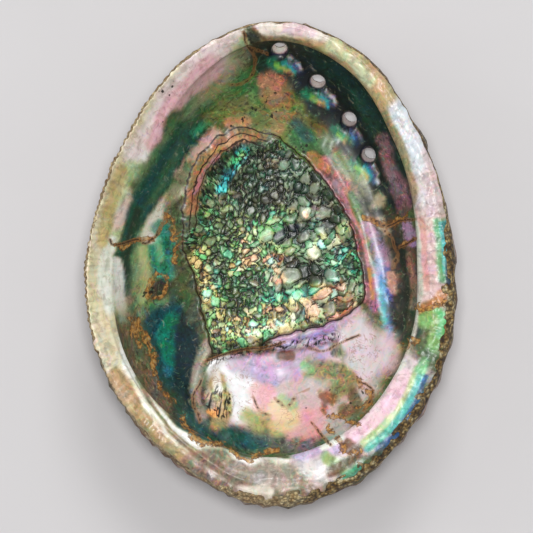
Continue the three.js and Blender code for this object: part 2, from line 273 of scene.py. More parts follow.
LIP: Section = tuple(zip(
    INNER_PLACES,
    (0, 0.21, 0.4, 0.535, 0.645, 0.735, 0.785, 0.835, 0.855, 0.88, 0.93, 0.985),
    (0.105, 0.12, 0.18, 0.28, 0.41, 0.55, 0.64, 0.735, 0.775, 0.815, 0.9, 0.995),
))
BACK_LEFT: Section = tuple(zip(
    INNER_PLACES,
    (0, 0.25, 0.49, 0.68, 0.81, 0.885, 0.895, 0.875, 0.868, 0.885, 0.93, 0.975),
    (0.105, 0.115, 0.165, 0.28, 0.47, 0.68, 0.79, 0.865, 0.9, 0.94, 0.985, 1),
))
BACK_PILLAR: Section = tuple(zip(
    OUTER_PLACES,
    (0, 0.24, 0.51, 0.75, 0.915, 0.98, 0.995, 1),
    (-0.012, -0.004, 0.055, 0.175, 0.4, 0.64, 0.84, 0.955),
))
BACK_FRONT: Section = tuple(zip(
    OUTER_PLACES,
    (0, 0.24, 0.47, 0.67, 0.82, 0.925, 0.975, 1),
    (-0.012, 0.01, 0.085, 0.2, 0.38, 0.6, 0.81, 0.965),
))
BACK_LIP: Section = tuple(zip(
    OUTER_PLACES,
    (0, 0.24, 0.45, 0.6, 0.735, 0.845, 0.935, 1),
    (-0.012, 0.002, 0.09, 0.225, 0.41, 0.605, 0.8, 0.965),
))


class Face(Enum):
    """The two faces of the shell, each with its half sections every 45 degrees anticlockwise from +X."""

    INSIDE = (PILLAR, FRONT_RIGHT, FRONT, LIP, LIP, BACK_LEFT, PILLAR, PILLAR)
    BACK = (
        BACK_PILLAR, BACK_PILLAR, BACK_FRONT, BACK_LIP, BACK_LIP, BACK_PILLAR, BACK_PILLAR, BACK_PILLAR,
    )


@dataclass(frozen=True)
class Form:
    """The shell's main shape, in millimetres.

    Attributes:
        rim_radii: distance to the rim's outer edge every 22.5 degrees anticlockwise from +X.
        rim_height: mean height of the mouth.
        rim_wave: how far the rim rises and dips around its mean height.
    """

    rim_radii: tuple[float, ...] = (
        60.6, 61.5, 66.4, 75.8, 79.5, 72.6, 63.9, 59.8, 60.5, 63.2, 67.2, 73.0, 80.0, 77.0, 70.0, 64.7,
    )
    rim_height: float = 46.0
    rim_wave: float = 1.6

    @staticmethod
    def around(values: Array, angle: Array) -> Array:
        """Values spaced evenly round a circle, read at each angle by a Catmull-Rom curve.

        Args:
            values: one row for each direction, with one value or one for each angle.
            angle: the angles in radians.

        Returns:
            The value at each angle.
        """
        n = len(values)
        place = (angle / (2 * math.pi)) % 1.0 * n
        i = np.floor(place).astype(int)
        t = place - i
        if values.ndim == 1:
            a, b, c, d = (values[(i + k) % n] for k in (-1, 0, 1, 2))
        else:
            column = np.arange(len(angle))
            a, b, c, d = (values[(i + k) % n, column] for k in (-1, 0, 1, 2))
        return catmull_rom(a, b, c, d, t)

    @staticmethod
    def section(rows: Section, place: Array) -> tuple[Array, Array]:
        """Radius share and height share along a half section, by a cubic through its points.

        Args:
            rows: the section's points as place, radius share and height share.
            place: places from 0 in the middle to 1 at the rim.

        Returns:
            The two shares at each place.
        """
        p = np.asarray(rows)
        low = np.maximum(np.arange(len(p)) - 1, 0)
        high = np.minimum(np.arange(len(p)) + 1, len(p) - 1)
        slope = (p[high, 1:] - p[low, 1:]) / (p[high, :1] - p[low, :1])
        i = np.clip(np.searchsorted(p[:, 0], place, side="right") - 1, 0, len(p) - 2)
        span = p[i + 1, 0] - p[i, 0]
        t = (place - p[i, 0]) / span
        shares = []
        for k in (0, 1):
            shares.append(
                (2 * t**3 - 3 * t**2 + 1) * p[i, k + 1]
                + (t**3 - 2 * t**2 + t) * span * slope[i, k]
                + (3 * t**2 - 2 * t**3) * p[i + 1, k + 1]
                + (t**3 - t**2) * span * slope[i + 1, k]
            )
        return shares[0], shares[1]

    def radius(self, angle: Array) -> Array:
        """Distance from the origin to the rim's outer edge, through the rim radii."""
        return self.around(np.asarray(self.rim_radii), angle)

    def height(self, angle: Array) -> Array:
        """Height of the rim: its mean with one slow wave of two periods and one of a single period."""
        return self.rim_height + self.rim_wave * (0.6 * np.cos(2 * angle) - 0.5 * np.sin(angle + 0.6))

    def point(self, face: Face, angle: Array, place: Array) -> Array:
        """Points of a face before its relief: the shares of the section, times the rim's radius and height.

        Args:
            face: which face.
            angle: directions in radians.
            place: places from 0 in the middle to 1 at the rim.

        Returns:
            One row of x, y and z for each.
        """
        shares = [self.section(rows, place) for rows in face.value]
        radius = self.radius(angle) * self.around(np.array([s[0] for s in shares]), angle)
        height = self.height(angle) * self.around(np.array([s[1] for s in shares]), angle)
        return np.column_stack([radius * np.cos(angle), radius * np.sin(angle), height])

    def place_of(self, face: Face, x: float, y: float) -> tuple[float, float, float]:
        """The direction and place of a spot in plan below the shelf, and how fast the radius grows there.

        Args:
            face: which face.
            x: place across.
            y: place along.

        Returns:
            Angle in radians, place, and millimetres of radius for each unit of place.
        """
        angle = math.atan2(y, x)
        places = np.linspace(0, 0.74 if face is Face.INSIDE else 0.9, 400)
        points = self.point(face, np.full(places.shape, angle), places)
        reach = np.hypot(points[:, 0], points[:, 1])
        place = float(np.interp(math.hypot(x, y), reach, places))
        rate = float(np.interp(place, places, np.gradient(reach, places)))
        return angle, place, rate


FORM = Form()


# ---- Features of the surface, in plan, in millimetres ----


@dataclass(frozen=True)
class Hole:
    """A breathing hole: its place in plan, and how far it leans outwards for each millimetre down."""

    x: float
    y: float
    lean: float


HOLES = (Hole(3.4, 69.0, 0.75), Hole(15.6, 58.8, 0.45), Hole(25.8, 46.6, 0.35), Hole(32.0, 35.0, 0.3))
CLOSED_HOLES: Points = ((37.6, 21.0), (41.4, 7.0), (42.4, -8.0))
ROW = curve(tuple((h.x, h.y) for h in HOLES) + CLOSED_HOLES + ((41.0, -30.0),))
SCAR = curve(
    (
        (-14.5, 43.5), (-9, 45), (2, 42), (11.5, 35), (19, 26), (26, 15), (30.5, 1.5), (32, -10), (29, -15),
        (18.5, -20.5), (2.5, -25), (-10, -29.5), (-18.5, -31), (-20, -27), (-25, -6), (-29.5, 7), (-27.5, 26),
        (-22, 38),
    ),
    closed=True,
)
LEDGE = curve(((-27, 14), (-26.5, 25), (-21, 35), (-14, 40.5), (-7, 41), (1, 39)))
RIDGE = curve(((17, 38), (23, 28), (29, 16), (33, 2), (36, -12), (38.5, -27)))
STEP = curve(((-20, -33.5), (-15, -31), (-5, -29), (4, -27.5), (12, -27), (22, -24.5)))
PIT_RIDGE = curve(((-11, -28.5), (-17, -31), (-21.5, -38), (-23.5, -45), (-20, -53), (-13, -57)))
TIP = (-21.0, -49.0)


@dataclass(frozen=True)
class Relief:
    """Heights of the features, in millimetres, added along the surface's normal."""

    scar_rise: float = 1.4
    scale_rise: float = 0.55
    ledge_rise: float = 0.5
    ridge_rise: float = 1.6
    basin_depth: float = 1.1
    keel_depth: float = 1.7
    keel_spread: float = 5.5
    coil_radius: float = 17.0
    coil_growth: float = 2.7
    rib_count: int = 44
    growth_waves: int = 9

    def keel(self, x: Array, y: Array) -> Array:
        """How far the wall stands out of the back along the row: a bell across it, fading at its old end."""
        return self.keel_depth * smooth(-36, -12, y) * bell(distance_to(ROW, x, y), self.keel_spread)

    def scales(self, x: Array, y: Array) -> tuple[Array, Array, Array, Array]:
        """The scar's overlapping scales: small ones on its left and front, large ones on its right.

        Args:
            x: places across.
            y: places along.

        Returns:
            Distance to the nearest scale edge, distance from the scale's centre, its tone, and its height:
            each scale is a dome, tipped so that one side stands over the next scale.
        """
        grain = Grain(31)
        wx = x + 0.8 * grain.layers(x, y, 3.2, 3)
        wy = y + 0.8 * Grain(77).layers(x, y, 3.2, 3)
        small = Grain(3).scales(wx, wy, 1.5, (0.6, 1.05), (0.25, 0.2))
        large = Grain(8).scales(wx, wy, 2.7, (0.6, 1.15), (-0.3, 0.35))
        choose = 0.8 * grain.layers(x + 40, y, 10.0, 3) + 1.3 * smooth(-13, 6, x - 0.2 * y) - 0.75
        take = choose > 0
        edge, centre, tone, dx, dy = (np.where(take, b, a) for a, b in zip(small, large))
        size = np.where(take, 2.7, 1.5)
        dome = np.sqrt(np.clip(edge / (0.45 * size), 0, 1))
        height = (0.8 * dome + 0.4 * (0.5 * dx - 0.8 * dy) / size + 0.9 * (tone - 0.5)) * (0.35 + 0.3 * size)
        return edge, centre, tone, height

    @staticmethod
    def scaled(x: Array, y: Array, scar: Array) -> Array:
        """1 where the scar has scales; its front left edge is a smooth ledge instead."""
        ledge = 4.4 * smooth(8, 14, y) * smooth(4, -4, x) + 0.3
        heap = smooth(5.2, 4.0, np.hypot(x + 16.5, (y + 46.5) * 0.8))
        crumbs = np.maximum(heap, smooth(1.9, 1.2, distance_to(STEP, x, y)))
        return np.maximum(smooth(-0.25, 0.35, scar - ledge), crumbs)

    def inside(self, x: Array, y: Array, place: Array, scar: Array, scale_height: Array) -> Array:
        """Relief of the floor and wall: the scar's pad, ledge and scales, the ridge beside the row of holes,
        the step down to the basin, the pit of the coil, the groove of the row, and slow lumps.

        Args:
            x: places across.
            y: places along.
            place: places along the half section.
            scar: depth inside the scar.
            scale_height: height of the scales.

        Returns:
            Heights along the normal.
        """
        lumps = Grain(5)
        pad = self.scar_rise * smooth(-0.7, 0.9, scar)
        pad = pad + self.scale_rise * scale_height * self.scaled(x, y, scar)
        ledge_line = distance_to(LEDGE, x, y)
        pad = pad + self.ledge_rise * bell(ledge_line, 2.4)
        ridge = self.ridge_rise * bell(distance_to(RIDGE, x, y), 3.4)
        ridge = ridge + 0.5 * bell(distance_to(RIDGE + np.array([5.5, 1.0]), x, y), 1.6) * smooth(-30, -10, y)
        reach = np.hypot((x - 8) / 27, (y + 43) / 15)
        basin = self.basin_depth * (1 - smooth(0.3, 1.1, reach))
        step = 0.7 * bell(distance_to(STEP, x, y), 1.3)
        pit = 1.8 * bell(distance_to(PIT_RIDGE, x, y), 2.2) - 2.2 * bell(np.hypot(x + 22.5, y + 45), 4.5)
        pit = pit + 1.1 * bell(np.hypot(x + 16.5, y + 46.5), 4.0)
        knobs = sum(bell(np.hypot(x - a, y - b), 3.0) for a, b in CLOSED_HOLES)
        rough = lumps.layers(x, y, 13.0, 3) * 0.3 + lumps.layers(x, y, 3.2, 2) * 0.02
        low = 1 - smooth(0.72, 0.88, place)
        return (pad + ridge - basin + step + pit + 0.8 * knobs + rough - self.keel(x, y)) * low

    def band(self, x: Array, y: Array, angle: Array, place: Array, inset: Array) -> Array:
        """Relief of the band round the mouth: hammered dimples on the pillar side, pleats that run out to
        the lip, and two thin ridges beside the shelf's edge at the back left.

        Args:
            x: places across.
            y: places along.
            angle: directions.
            place: places along the half section.
            inset: distance inside the rim's outer edge.

        Returns:
            Heights along the normal.
        """
        on_band = smooth(0.895, 0.93, place)
        degrees = np.degrees(angle)
        turn = np.mod(degrees, 360.0)
        dimples = Grain(12).scales(x + 0.5 * Grain(4).layers(x, y, 2.5, 2), y, 1.9, (0.6, 0.9), (0.0, 0.0))
        hammered = 0.3 * np.sqrt(np.clip(dimples[0] / 0.7, 0, 1))
        hammered = hammered * smooth(95, 60, degrees) * smooth(-50, -20, degrees)
        pleat_step = (degrees + 1.2 * Grain(9).value(x / 9, y / 9)) / 2.1
        pleats = 0.6 * (np.abs(2 * (pleat_step - np.floor(pleat_step)) - 1) - 0.5)
        pleats = pleats * (0.25 + 0.75 * smooth(88, 105, turn) * smooth(245, 225, turn))
        lip = smooth(5.5, 1.5, inset)
        second = 0.8 * bell(inset - 6.6, 0.9) * self.back_left(degrees)
        waves = 0.06 * np.sin(2 * np.pi * inset / 3.1 + Grain(2).layers(x, y, 9, 2) * 4)
        rough = Grain(15).layers(x, y, 5.0, 3) * 0.25
        return (hammered + second + waves * smooth(1, 4, inset) + rough) * on_band + pleats * lip

    @staticmethod
    def back_left(degrees: Array) -> Array:
        """1 on the stretch of the rim at the back left, fading at both its ends."""
        turn = np.mod(degrees, 360.0)
        return smooth(195, 215, turn) * smooth(275, 250, turn)

    def back(self, x: Array, y: Array, place: Array) -> Array:
        """Relief of the back: the keel of the row with its closed knobs, the coil of the tip with a spiral
        groove between its turns, growth waves that are smaller and smaller copies of the rim around the
        tip, and slanting ribs across them.

        Args:
            x: places across.
            y: places along.
            place: places along the half section.

        Returns:
            Heights along the outward normal.
        """
        dx, dy = x - TIP[0], y - TIP[1]
        reach = np.hypot(dx, dy)
        bearing = np.arctan2(dy, dx)
        to_rim = np.full(x.shape, 20.0)
        for _ in range(6):
            px, py = TIP[0] + to_rim * np.cos(bearing), TIP[1] + to_rim * np.sin(bearing)
            to_rim = to_rim * FORM.radius(np.arctan2(py, px)) / np.hypot(px, py)
        grown = np.clip(reach / to_rim, 0.02, 1)
        wave = 0.12 * Grain(21).layers(x, y, 22, 2)
        slant = self.rib_count * (bearing + 0.55 * np.log(grown)) + 4 * wave
        ribs = 0.42 * np.cos(slant) * smooth(0.2, 0.7, grown)
        growth = 0.6 * np.cos(2 * np.pi * (self.growth_waves * grown**1.4 + wave)) * smooth(0.2, 0.5, grown)
        fine = 0.22 * np.cos(2 * np.pi * (34 * grown**1.2 + 3 * wave)) * smooth(0.25, 0.6, grown)
        turn = np.log(np.maximum(reach, 0.6)) / math.log(self.coil_growth) + bearing / (2 * np.pi)
        across = turn - np.floor(turn)
        groove = 1.4 * (1 - smooth(0, 0.2, np.minimum(across, 1 - across)))
        groove = groove * (1 - smooth(0.55, 1, reach / self.coil_radius))
        coil = 3.4 * bell(reach, self.coil_radius * 0.6) - groove
        knobs = sum(2.6 * bell(np.hypot(x - a, y - b), 3.6) for a, b in CLOSED_HOLES)
        rough = Grain(25).layers(x, y, 7.0, 4) * 0.45
        near_rim = 1 - smooth(0.96, 1.0, place)
        return self.keel(x, y) + knobs + coil + (ribs + growth + fine + rough) * near_rim


RELIEF = Relief()


# ---- Colours laid on the inside ----


@dataclass(frozen=True)
class Dab:
    """A soft stroke of colour.

    Attributes:
        colour: sRGB, 0 to 255.
        points: the stroke's line, in millimetres.
        reach: half the stroke's full-strength width.
        soft: how far the colour fades beyond that.
        strength: how much of the colour is laid on, from 0 to 1.
    """

    colour: Colour
    points: Points
    reach: float
    soft: float
    strength: float = 1.0

    def lay(self, paint: Array, x: Array, y: Array, where: Array | float = 1.0) -> None:
        """Mixes the colour into the paint: full within reach, fading smoothly to nothing at reach plus soft.

        Args:
            paint: linear colours, one row each, changed in place.
            x: places across.
            y: places along.
            where: a share from 0 to 1 that holds the colour back.
        """
        line = curve(self.points)
        edge = self.reach + 0.7 * self.soft
        low, high = line.min(axis=0) - edge, line.max(axis=0) + edge
        near = np.flatnonzero((x > low[0]) & (x < high[0]) & (y > low[1]) & (y < high[1]))
        share = self.strength * smooth(edge, self.reach * 0.75, distance_to(line, x[near], y[near]))
        if not isinstance(where, float):
            share = share * where[near]
        paint[near] += (to_linear(self.colour) - paint[near]) * share[:, None]


FLOOR_DABS = tuple(Dab(*row) for row in (
    ((62, 98, 74), ((-6.5, 66), (-13, 56), (-20.5, 48.5), (-28.5, 41), (-36, 31), (-42, 21), (-46, 11.5),
        (-47.5, -2)), 7, 5),
    # The next four strokes are a dark teal swath below the left band: partly the nacre's own dark teal,
    # partly painted shade on the wall under the band.
    ((28, 78, 66), ((-6, 60), (-13, 52.5), (-20.5, 46.5), (-28.5, 40), (-35, 31.5), (-41, 22.5),
        (-44.5, 12.5)), 3.4, 2.6),
    ((14, 88, 92), ((-27, 38), (-33, 31), (-38, 24), (-42, 17), (-45, 8)), 2, 1.6, 0.95),
    ((30, 62, 46), ((-44, 14), (-46.5, 4), (-47, -6), (-47, -16)), 1.6, 1.6, 0.9),
    ((40, 58, 44), ((-10, 61), (-17, 53), (-23, 47), (-29, 42)), 1, 1.2, 0.8),
    ((56, 176, 150), ((-15, 52), (-20, 47), (-25, 42.5)), 0.9, 1.2, 0.75),
    ((128, 160, 128), ((-40.5, 5), (-38, -4), (-39.5, -13)), 7, 3),
    ((36, 150, 140), ((-36, 12), (-38, 4), (-36, -3)), 2, 1.6, 0.9),
    ((196, 204, 160), ((-42, 4), (-41, -4), (-42, -12)), 1.2, 1.4, 0.8),
    ((52, 96, 88), ((-33, -8), (-31, -14), (-32, -20)), 1.8, 1.6, 0.8),
    ((48, 172, 142), ((-34, 8), (-35, 2.5), (-32.5, -2)), 3.2, 2, 0.85),
    ((160, 172, 146), ((-46.5, 2.5), (-44.5, -7.5), (-45.5, -15)), 2.5, 2.5, 0.7),
    ((16, 84, 104), ((-34, -20.5), (-32.5, -30.5), (-31.5, -38)), 6, 3),
    ((40, 128, 150), ((-36, -24), (-34, -30), (-33.5, -36)), 1.2, 1.4, 0.8),
    ((14, 44, 66), ((-29, -22), (-28, -32), (-28.5, -40)), 1.6, 1.6, 0.9),
    ((14, 132, 122), ((-32.5, -19.5), (-34, -27), (-30.5, -33.5)), 2.2, 2, 0.9),
    ((62, 78, 68), ((-36, -44.5), (-28.5, -52), (-18.5, -59)), 5, 4),
    ((122, 116, 102), ((-47, -13), (-45.5, -26), (-41, -38), (-35, -48)), 2.6, 2.5, 0.9),
    ((30, 98, 104), ((-29.5, -45.5), (-23, -55.5), (-8.5, -59)), 2.5, 2.5, 0.8),
    ((20, 56, 70), ((-27, -20.5), (-25, -28), (-27, -37), (-24, -46.5)), 3.6, 3),
    ((124, 146, 96), ((-4, 54), (6.5, 50.5), (15.5, 40), (22, 32)), 11, 7),
    ((70, 130, 88), ((-14, 55), (-4, 59.5), (0, 63)), 5, 4, 0.9),
    ((26, 66, 66), ((-3, 67), (0, 65), (6.5, 65)), 4, 3, 0.9),
    ((128, 138, 96), ((-17.5, 48.5), (-8.5, 50.5), (0, 47.5)), 5, 4, 0.8),
    ((166, 130, 104), ((2.5, 57.5), (5.5, 59.5), (6.5, 55)), 2.4, 2.4, 0.8),
    ((150, 122, 88), ((10, 47.5), (15.5, 45.5), (21, 47.5)), 2.6, 2.6, 0.7),
    ((172, 116, 92), ((17.5, 37.5), (22, 40), (21, 43)), 2.6, 2.2, 0.8),
    ((170, 128, 126), ((19, 31), (22, 29), (23.5, 24.5)), 2, 2, 0.8),
    ((64, 120, 84), ((11, 42), (16.5, 35.5), (19, 40)), 3.2, 3, 0.9),
    ((110, 124, 66), ((11, 55), (17.5, 47.5), (22, 42)), 2.4, 2.4, 0.7),
    # The next four strokes, down to the pink one, are the steep wall under the shelf's overhang: partly the
    # nacre's own dark teal and green, partly painted shade under the shelf.
    ((14, 58, 70), ((6.5, 71.5), (20, 61.5), (31, 50.5), (38.5, 37.5), (44, 22.5)), 6, 4),
    ((40, 92, 80), ((27.5, 54), (33, 45.5), (35.5, 36.5)), 2.2, 2.4, 0.8),
    ((18, 66, 66), ((10, 63), (17.5, 60.5), (25.5, 54)), 2, 2.4, 0.8),
    ((22, 50, 62), ((5.5, 66), (10, 60), (15, 52.5), (21, 47.5), (26, 40), (32, 34.5), (35, 26.5)), 2.2,
        2.2, 0.9),
    ((142, 110, 132), ((37, 40), (39.5, 33), (42.5, 25.5), (45, 18)), 2.8, 1.2, 0.95),
    ((178, 150, 176), ((36.5, 38.5), (40, 31), (44, 22.5)), 1, 1.4, 0.6),
    # Dark green nacre on the wall under the shelf, darkened as painted shade.
    ((34, 70, 58), ((45, 7), (46, -4), (46, -15), (44, -23.5)), 3.6, 3),
    ((112, 98, 92), ((46.5, 7), (47.5, -2), (48.5, -10.5)), 1.8, 1.6, 0.9),
    ((166, 146, 178), ((45.5, 12), (46, 9)), 2.4, 0.6),
    ((60, 62, 50), ((33, 18), (37.5, 12.5), (40.5, 5)), 3.4, 3),
    ((120, 104, 76), ((35, 15), (38, 11.5), (40, 6.5)), 1.2, 1),
    ((196, 176, 160), ((37, 22.5), (35.5, 19)), 1.5, 1.4, 0.9),
    ((96, 92, 80), ((39.5, 0.5), (42.5, -9.5), (43, -20.5)), 4, 3),
    ((196, 156, 146), ((41, -0.5), (42.5, -6), (39.5, -10.5)), 1.6, 1.8, 0.8),
    ((178, 130, 146), ((19, 32), (24, 23.5), (29.5, 11.5), (33, -0.5), (33.5, -11.5)), 3.8, 1.8),
    ((216, 168, 186), ((25, 24), (30.5, 12), (33.5, 0)), 0.8, 1, 0.8),
    ((120, 96, 108), ((21, 27), (26, 18), (30.5, 5), (32.5, -6)), 0.7, 1, 0.8),
    ((196, 160, 180), ((22, 26.5), (28.5, 15.5), (33.5, 5)), 0.9, 1.2, 0.8),
    ((182, 142, 120), ((26, 24.5), (31, 13.5), (33, 7)), 1, 1.4, 0.8),
    ((92, 140, 92), ((27.5, 22.5), (32.5, 11.5), (35.5, 0.5)), 1.1, 1.4, 0.8),
    ((170, 136, 176), ((33, 12.5), (37, 2.5), (37.5, -6), (35, -15)), 1.8, 1.6, 0.9),
    ((44, 160, 204), ((36.5, 0.5), (38, -9.5), (39, -19.5), (40, -27)), 1, 1.3, 0.95),
    ((54, 96, 180), ((38.5, -2), (40, -13), (39.5, -21.5)), 0.7, 1, 0.8),
    ((186, 170, 80), ((39, -28), (42.5, -29)), 1.2, 1.4, 0.8),
    ((34, 40, 36), ((35.5, 17), (38, 13), (40, 9), (41.5, 3), (41, -4), (42, -12)), 1, 1.2, 0.9),
    ((186, 168, 150), ((36.5, 14.5), (38.5, 10.5)), 0.9, 0.7, 0.9),
    ((176, 156, 190), ((46, 11.5), (47.5, 6.5)), 1.6, 0.5),
    ((168, 138, 128), ((46, 2), (47.5, -6), (47.5, -14)), 1.2, 0.9, 0.9),
    # A dark green strip on the wall under the shelf: partly the nacre's colour, partly painted shade.
    ((22, 40, 36), ((43.5, 4), (44, -6), (44, -16), (42.5, -24)), 1.4, 1.2, 0.9),
    ((196, 168, 156), ((39.5, -4), (41, -9)), 1.3, 0.9, 0.9),
    ((40, 46, 40), ((40, -14), (41.5, -20)), 1.2, 1.2, 0.8),
    ((70, 190, 200), ((35.5, -4), (37, -12), (38.5, -20)), 0.5, 0.7, 0.9),
    ((196, 186, 214), ((34, 9), (36.5, 1), (36, -8)), 0.5, 0.7, 0.8),
    ((210, 160, 60), ((33.5, -2), (34.5, -12)), 0.4, 0.7, 0.7),
    ((204, 178, 178), ((-18.5, 42), (-24, 36), (-29, 29.5)), 2, 1.8, 0.95),
    ((198, 160, 134), ((-13, 46), (-8, 47.5)), 1.6, 1.8, 0.85),
    ((168, 148, 116), ((0, 56), (5, 50.5), (3, 44.5)), 2, 2.2, 0.75),
    ((56, 104, 120), ((9, 46.5), (12.5, 42)), 1.4, 1.8, 0.75),
    ((196, 156, 120), ((14, 36), (19, 31.5)), 1.4, 1.6, 0.75),
    ((222, 218, 208), ((-30.5, 24.5), (-35.5, 17), (-40, 8)), 2.2, 1.8),
    ((104, 128, 98), ((-26, 32), (-31.5, 24.5), (-32.5, 15.5)), 2, 2, 0.7),
    ((92, 112, 86), ((-29.5, 18), (-30.5, 7), (-28.5, 0.5)), 2.6, 2.6, 0.9),
    ((66, 76, 68), ((-37, -9.5), (-35, -8.5)), 3, 1.8),
    ((84, 104, 76), ((-29.5, -2), (-28, -10.5), (-25, -18)), 2.4, 2.2, 0.8),
    ((56, 150, 146), ((-35.5, 11), (-33.5, 3), (-33.5, -4)), 2.8, 2, 0.85),
    ((150, 196, 176), ((-37, 7), (-36, 1)), 0.9, 1.2, 0.7),
    ((200, 184, 190), ((-8.5, -43.5), (2.5, -42.5), (13.5, -45.5), (24, -40), (31, -31.5)), 12, 4),
    # Near-white on the basin's left: pale nacre brightened into a painted highlight.
    ((246, 248, 252), ((-14, -36), (-11, -42), (-8.5, -48)), 5, 3),
    ((238, 190, 202), ((-4, -42), (1, -46), (4, -51)), 2.4, 2.4, 0.8),
    ((150, 130, 150), ((-2, -31.5), (6, -33.5), (13, -31)), 1.6, 2, 0.7),
    ((160, 176, 110), ((-6, -50), (-1, -51.5), (-3, -55)), 1.4, 1.6, 0.7),
    ((120, 150, 120), ((24, -29), (26, -33), (31, -36)), 1.2, 1.6, 0.7),
    ((190, 176, 206), ((-8.5, -33.5), (0, -35), (11, -30.5), (22, -25)), 4, 3, 0.8),
    ((226, 176, 188), ((6.5, -53.5), (13.5, -52), (11, -59)), 3.6, 3, 0.8),
    ((224, 206, 164), ((2.5, -49), (8, -52), (2.5, -55.5)), 2.4, 2.6, 0.7),
    ((184, 164, 210), ((-4, -34.5), (0, -38)), 2.4, 2.6, 0.7),
    ((226, 168, 180), ((-3, -48), (-1, -42.5)), 2.2, 2.6, 0.6),
    ((216, 206, 216), ((28, -24), (32, -28), (34, -32.5), (31, -34.5)), 5, 3, 0.9),
    ((190, 186, 192), ((20, -57.5), (24, -55.5)), 3, 2.6, 0.8),
    ((142, 146, 104), ((13, -34), (21, -36), (27, -40), (22, -42.5)), 2.4, 2.4, 0.8),
    ((112, 120, 80), ((22, -28), (22.5, -29.5)), 1.6, 1.6, 0.8),
    ((126, 190, 136), ((11, -34), (14, -35)), 0.8, 1.4, 0.8),
    ((150, 192, 132), ((4.5, -45.5), (8, -47.5)), 1.6, 1.8, 0.7),
    ((168, 182, 124), ((-7.5, -51.5), (-4, -54.5)), 1.8, 2, 0.7),
    ((96, 116, 120), ((-4, -60), (8, -61.5), (16, -60)), 1.8, 2, 0.8),
    ((24, 96, 110), ((-12, -56), (-7, -59), (-2, -60.5)), 1.5, 1.8, 0.95),
    ((112, 96, 62), ((27.5, -43.5), (29.5, -48), (25.5, -49.5)), 1.8, 1.6, 0.8),
    ((112, 66, 42), ((4, -31), (6, -31)), 1.6, 0.9),
    ((150, 108, 76), ((18, -44), (20.5, -45)), 1.8, 0.9),
    ((150, 108, 76), ((18, -46.5), (17.5, -49)), 1, 0.8, 0.9),
    ((84, 62, 40), ((-20.5, -31.5), (-16.5, -30.5), (-8.5, -29), (-1, -28), (4.5, -26)), 1.3, 1.2, 0.95),
    ((206, 190, 214), ((2.5, -27), (11, -23), (20, -20), (28.5, -16)), 1.6, 1.8, 0.8),
    ((150, 140, 196), ((5.5, -27), (13.5, -24.5), (21, -21)), 1, 1.4, 0.7),
    ((158, 156, 152), ((-19.5, -27), (-22.5, -32.5), (-24, -39), (-24, -45.5), (-22.5, -51)), 1.6, 1.4),
    ((176, 168, 136), ((-16.5, -40), (-15, -46.5), (-16.5, -53.5)), 2.8, 1.8),
    ((244, 176, 116), ((-20, -50), (-18.5, -50)), 1.1, 1),
    ((236, 232, 228), ((-17.5, -37), (-16.5, -42.5)), 1.2, 1, 0.9),
    ((206, 150, 138), ((-2, 60.5), (1, 61), (3, 59)), 1.8, 1.8, 0.7),
    ((30, 44, 40), ((-6, 73), (-4.5, 71), (-3.5, 68.5)), 1.5, 1.5, 0.9),
))
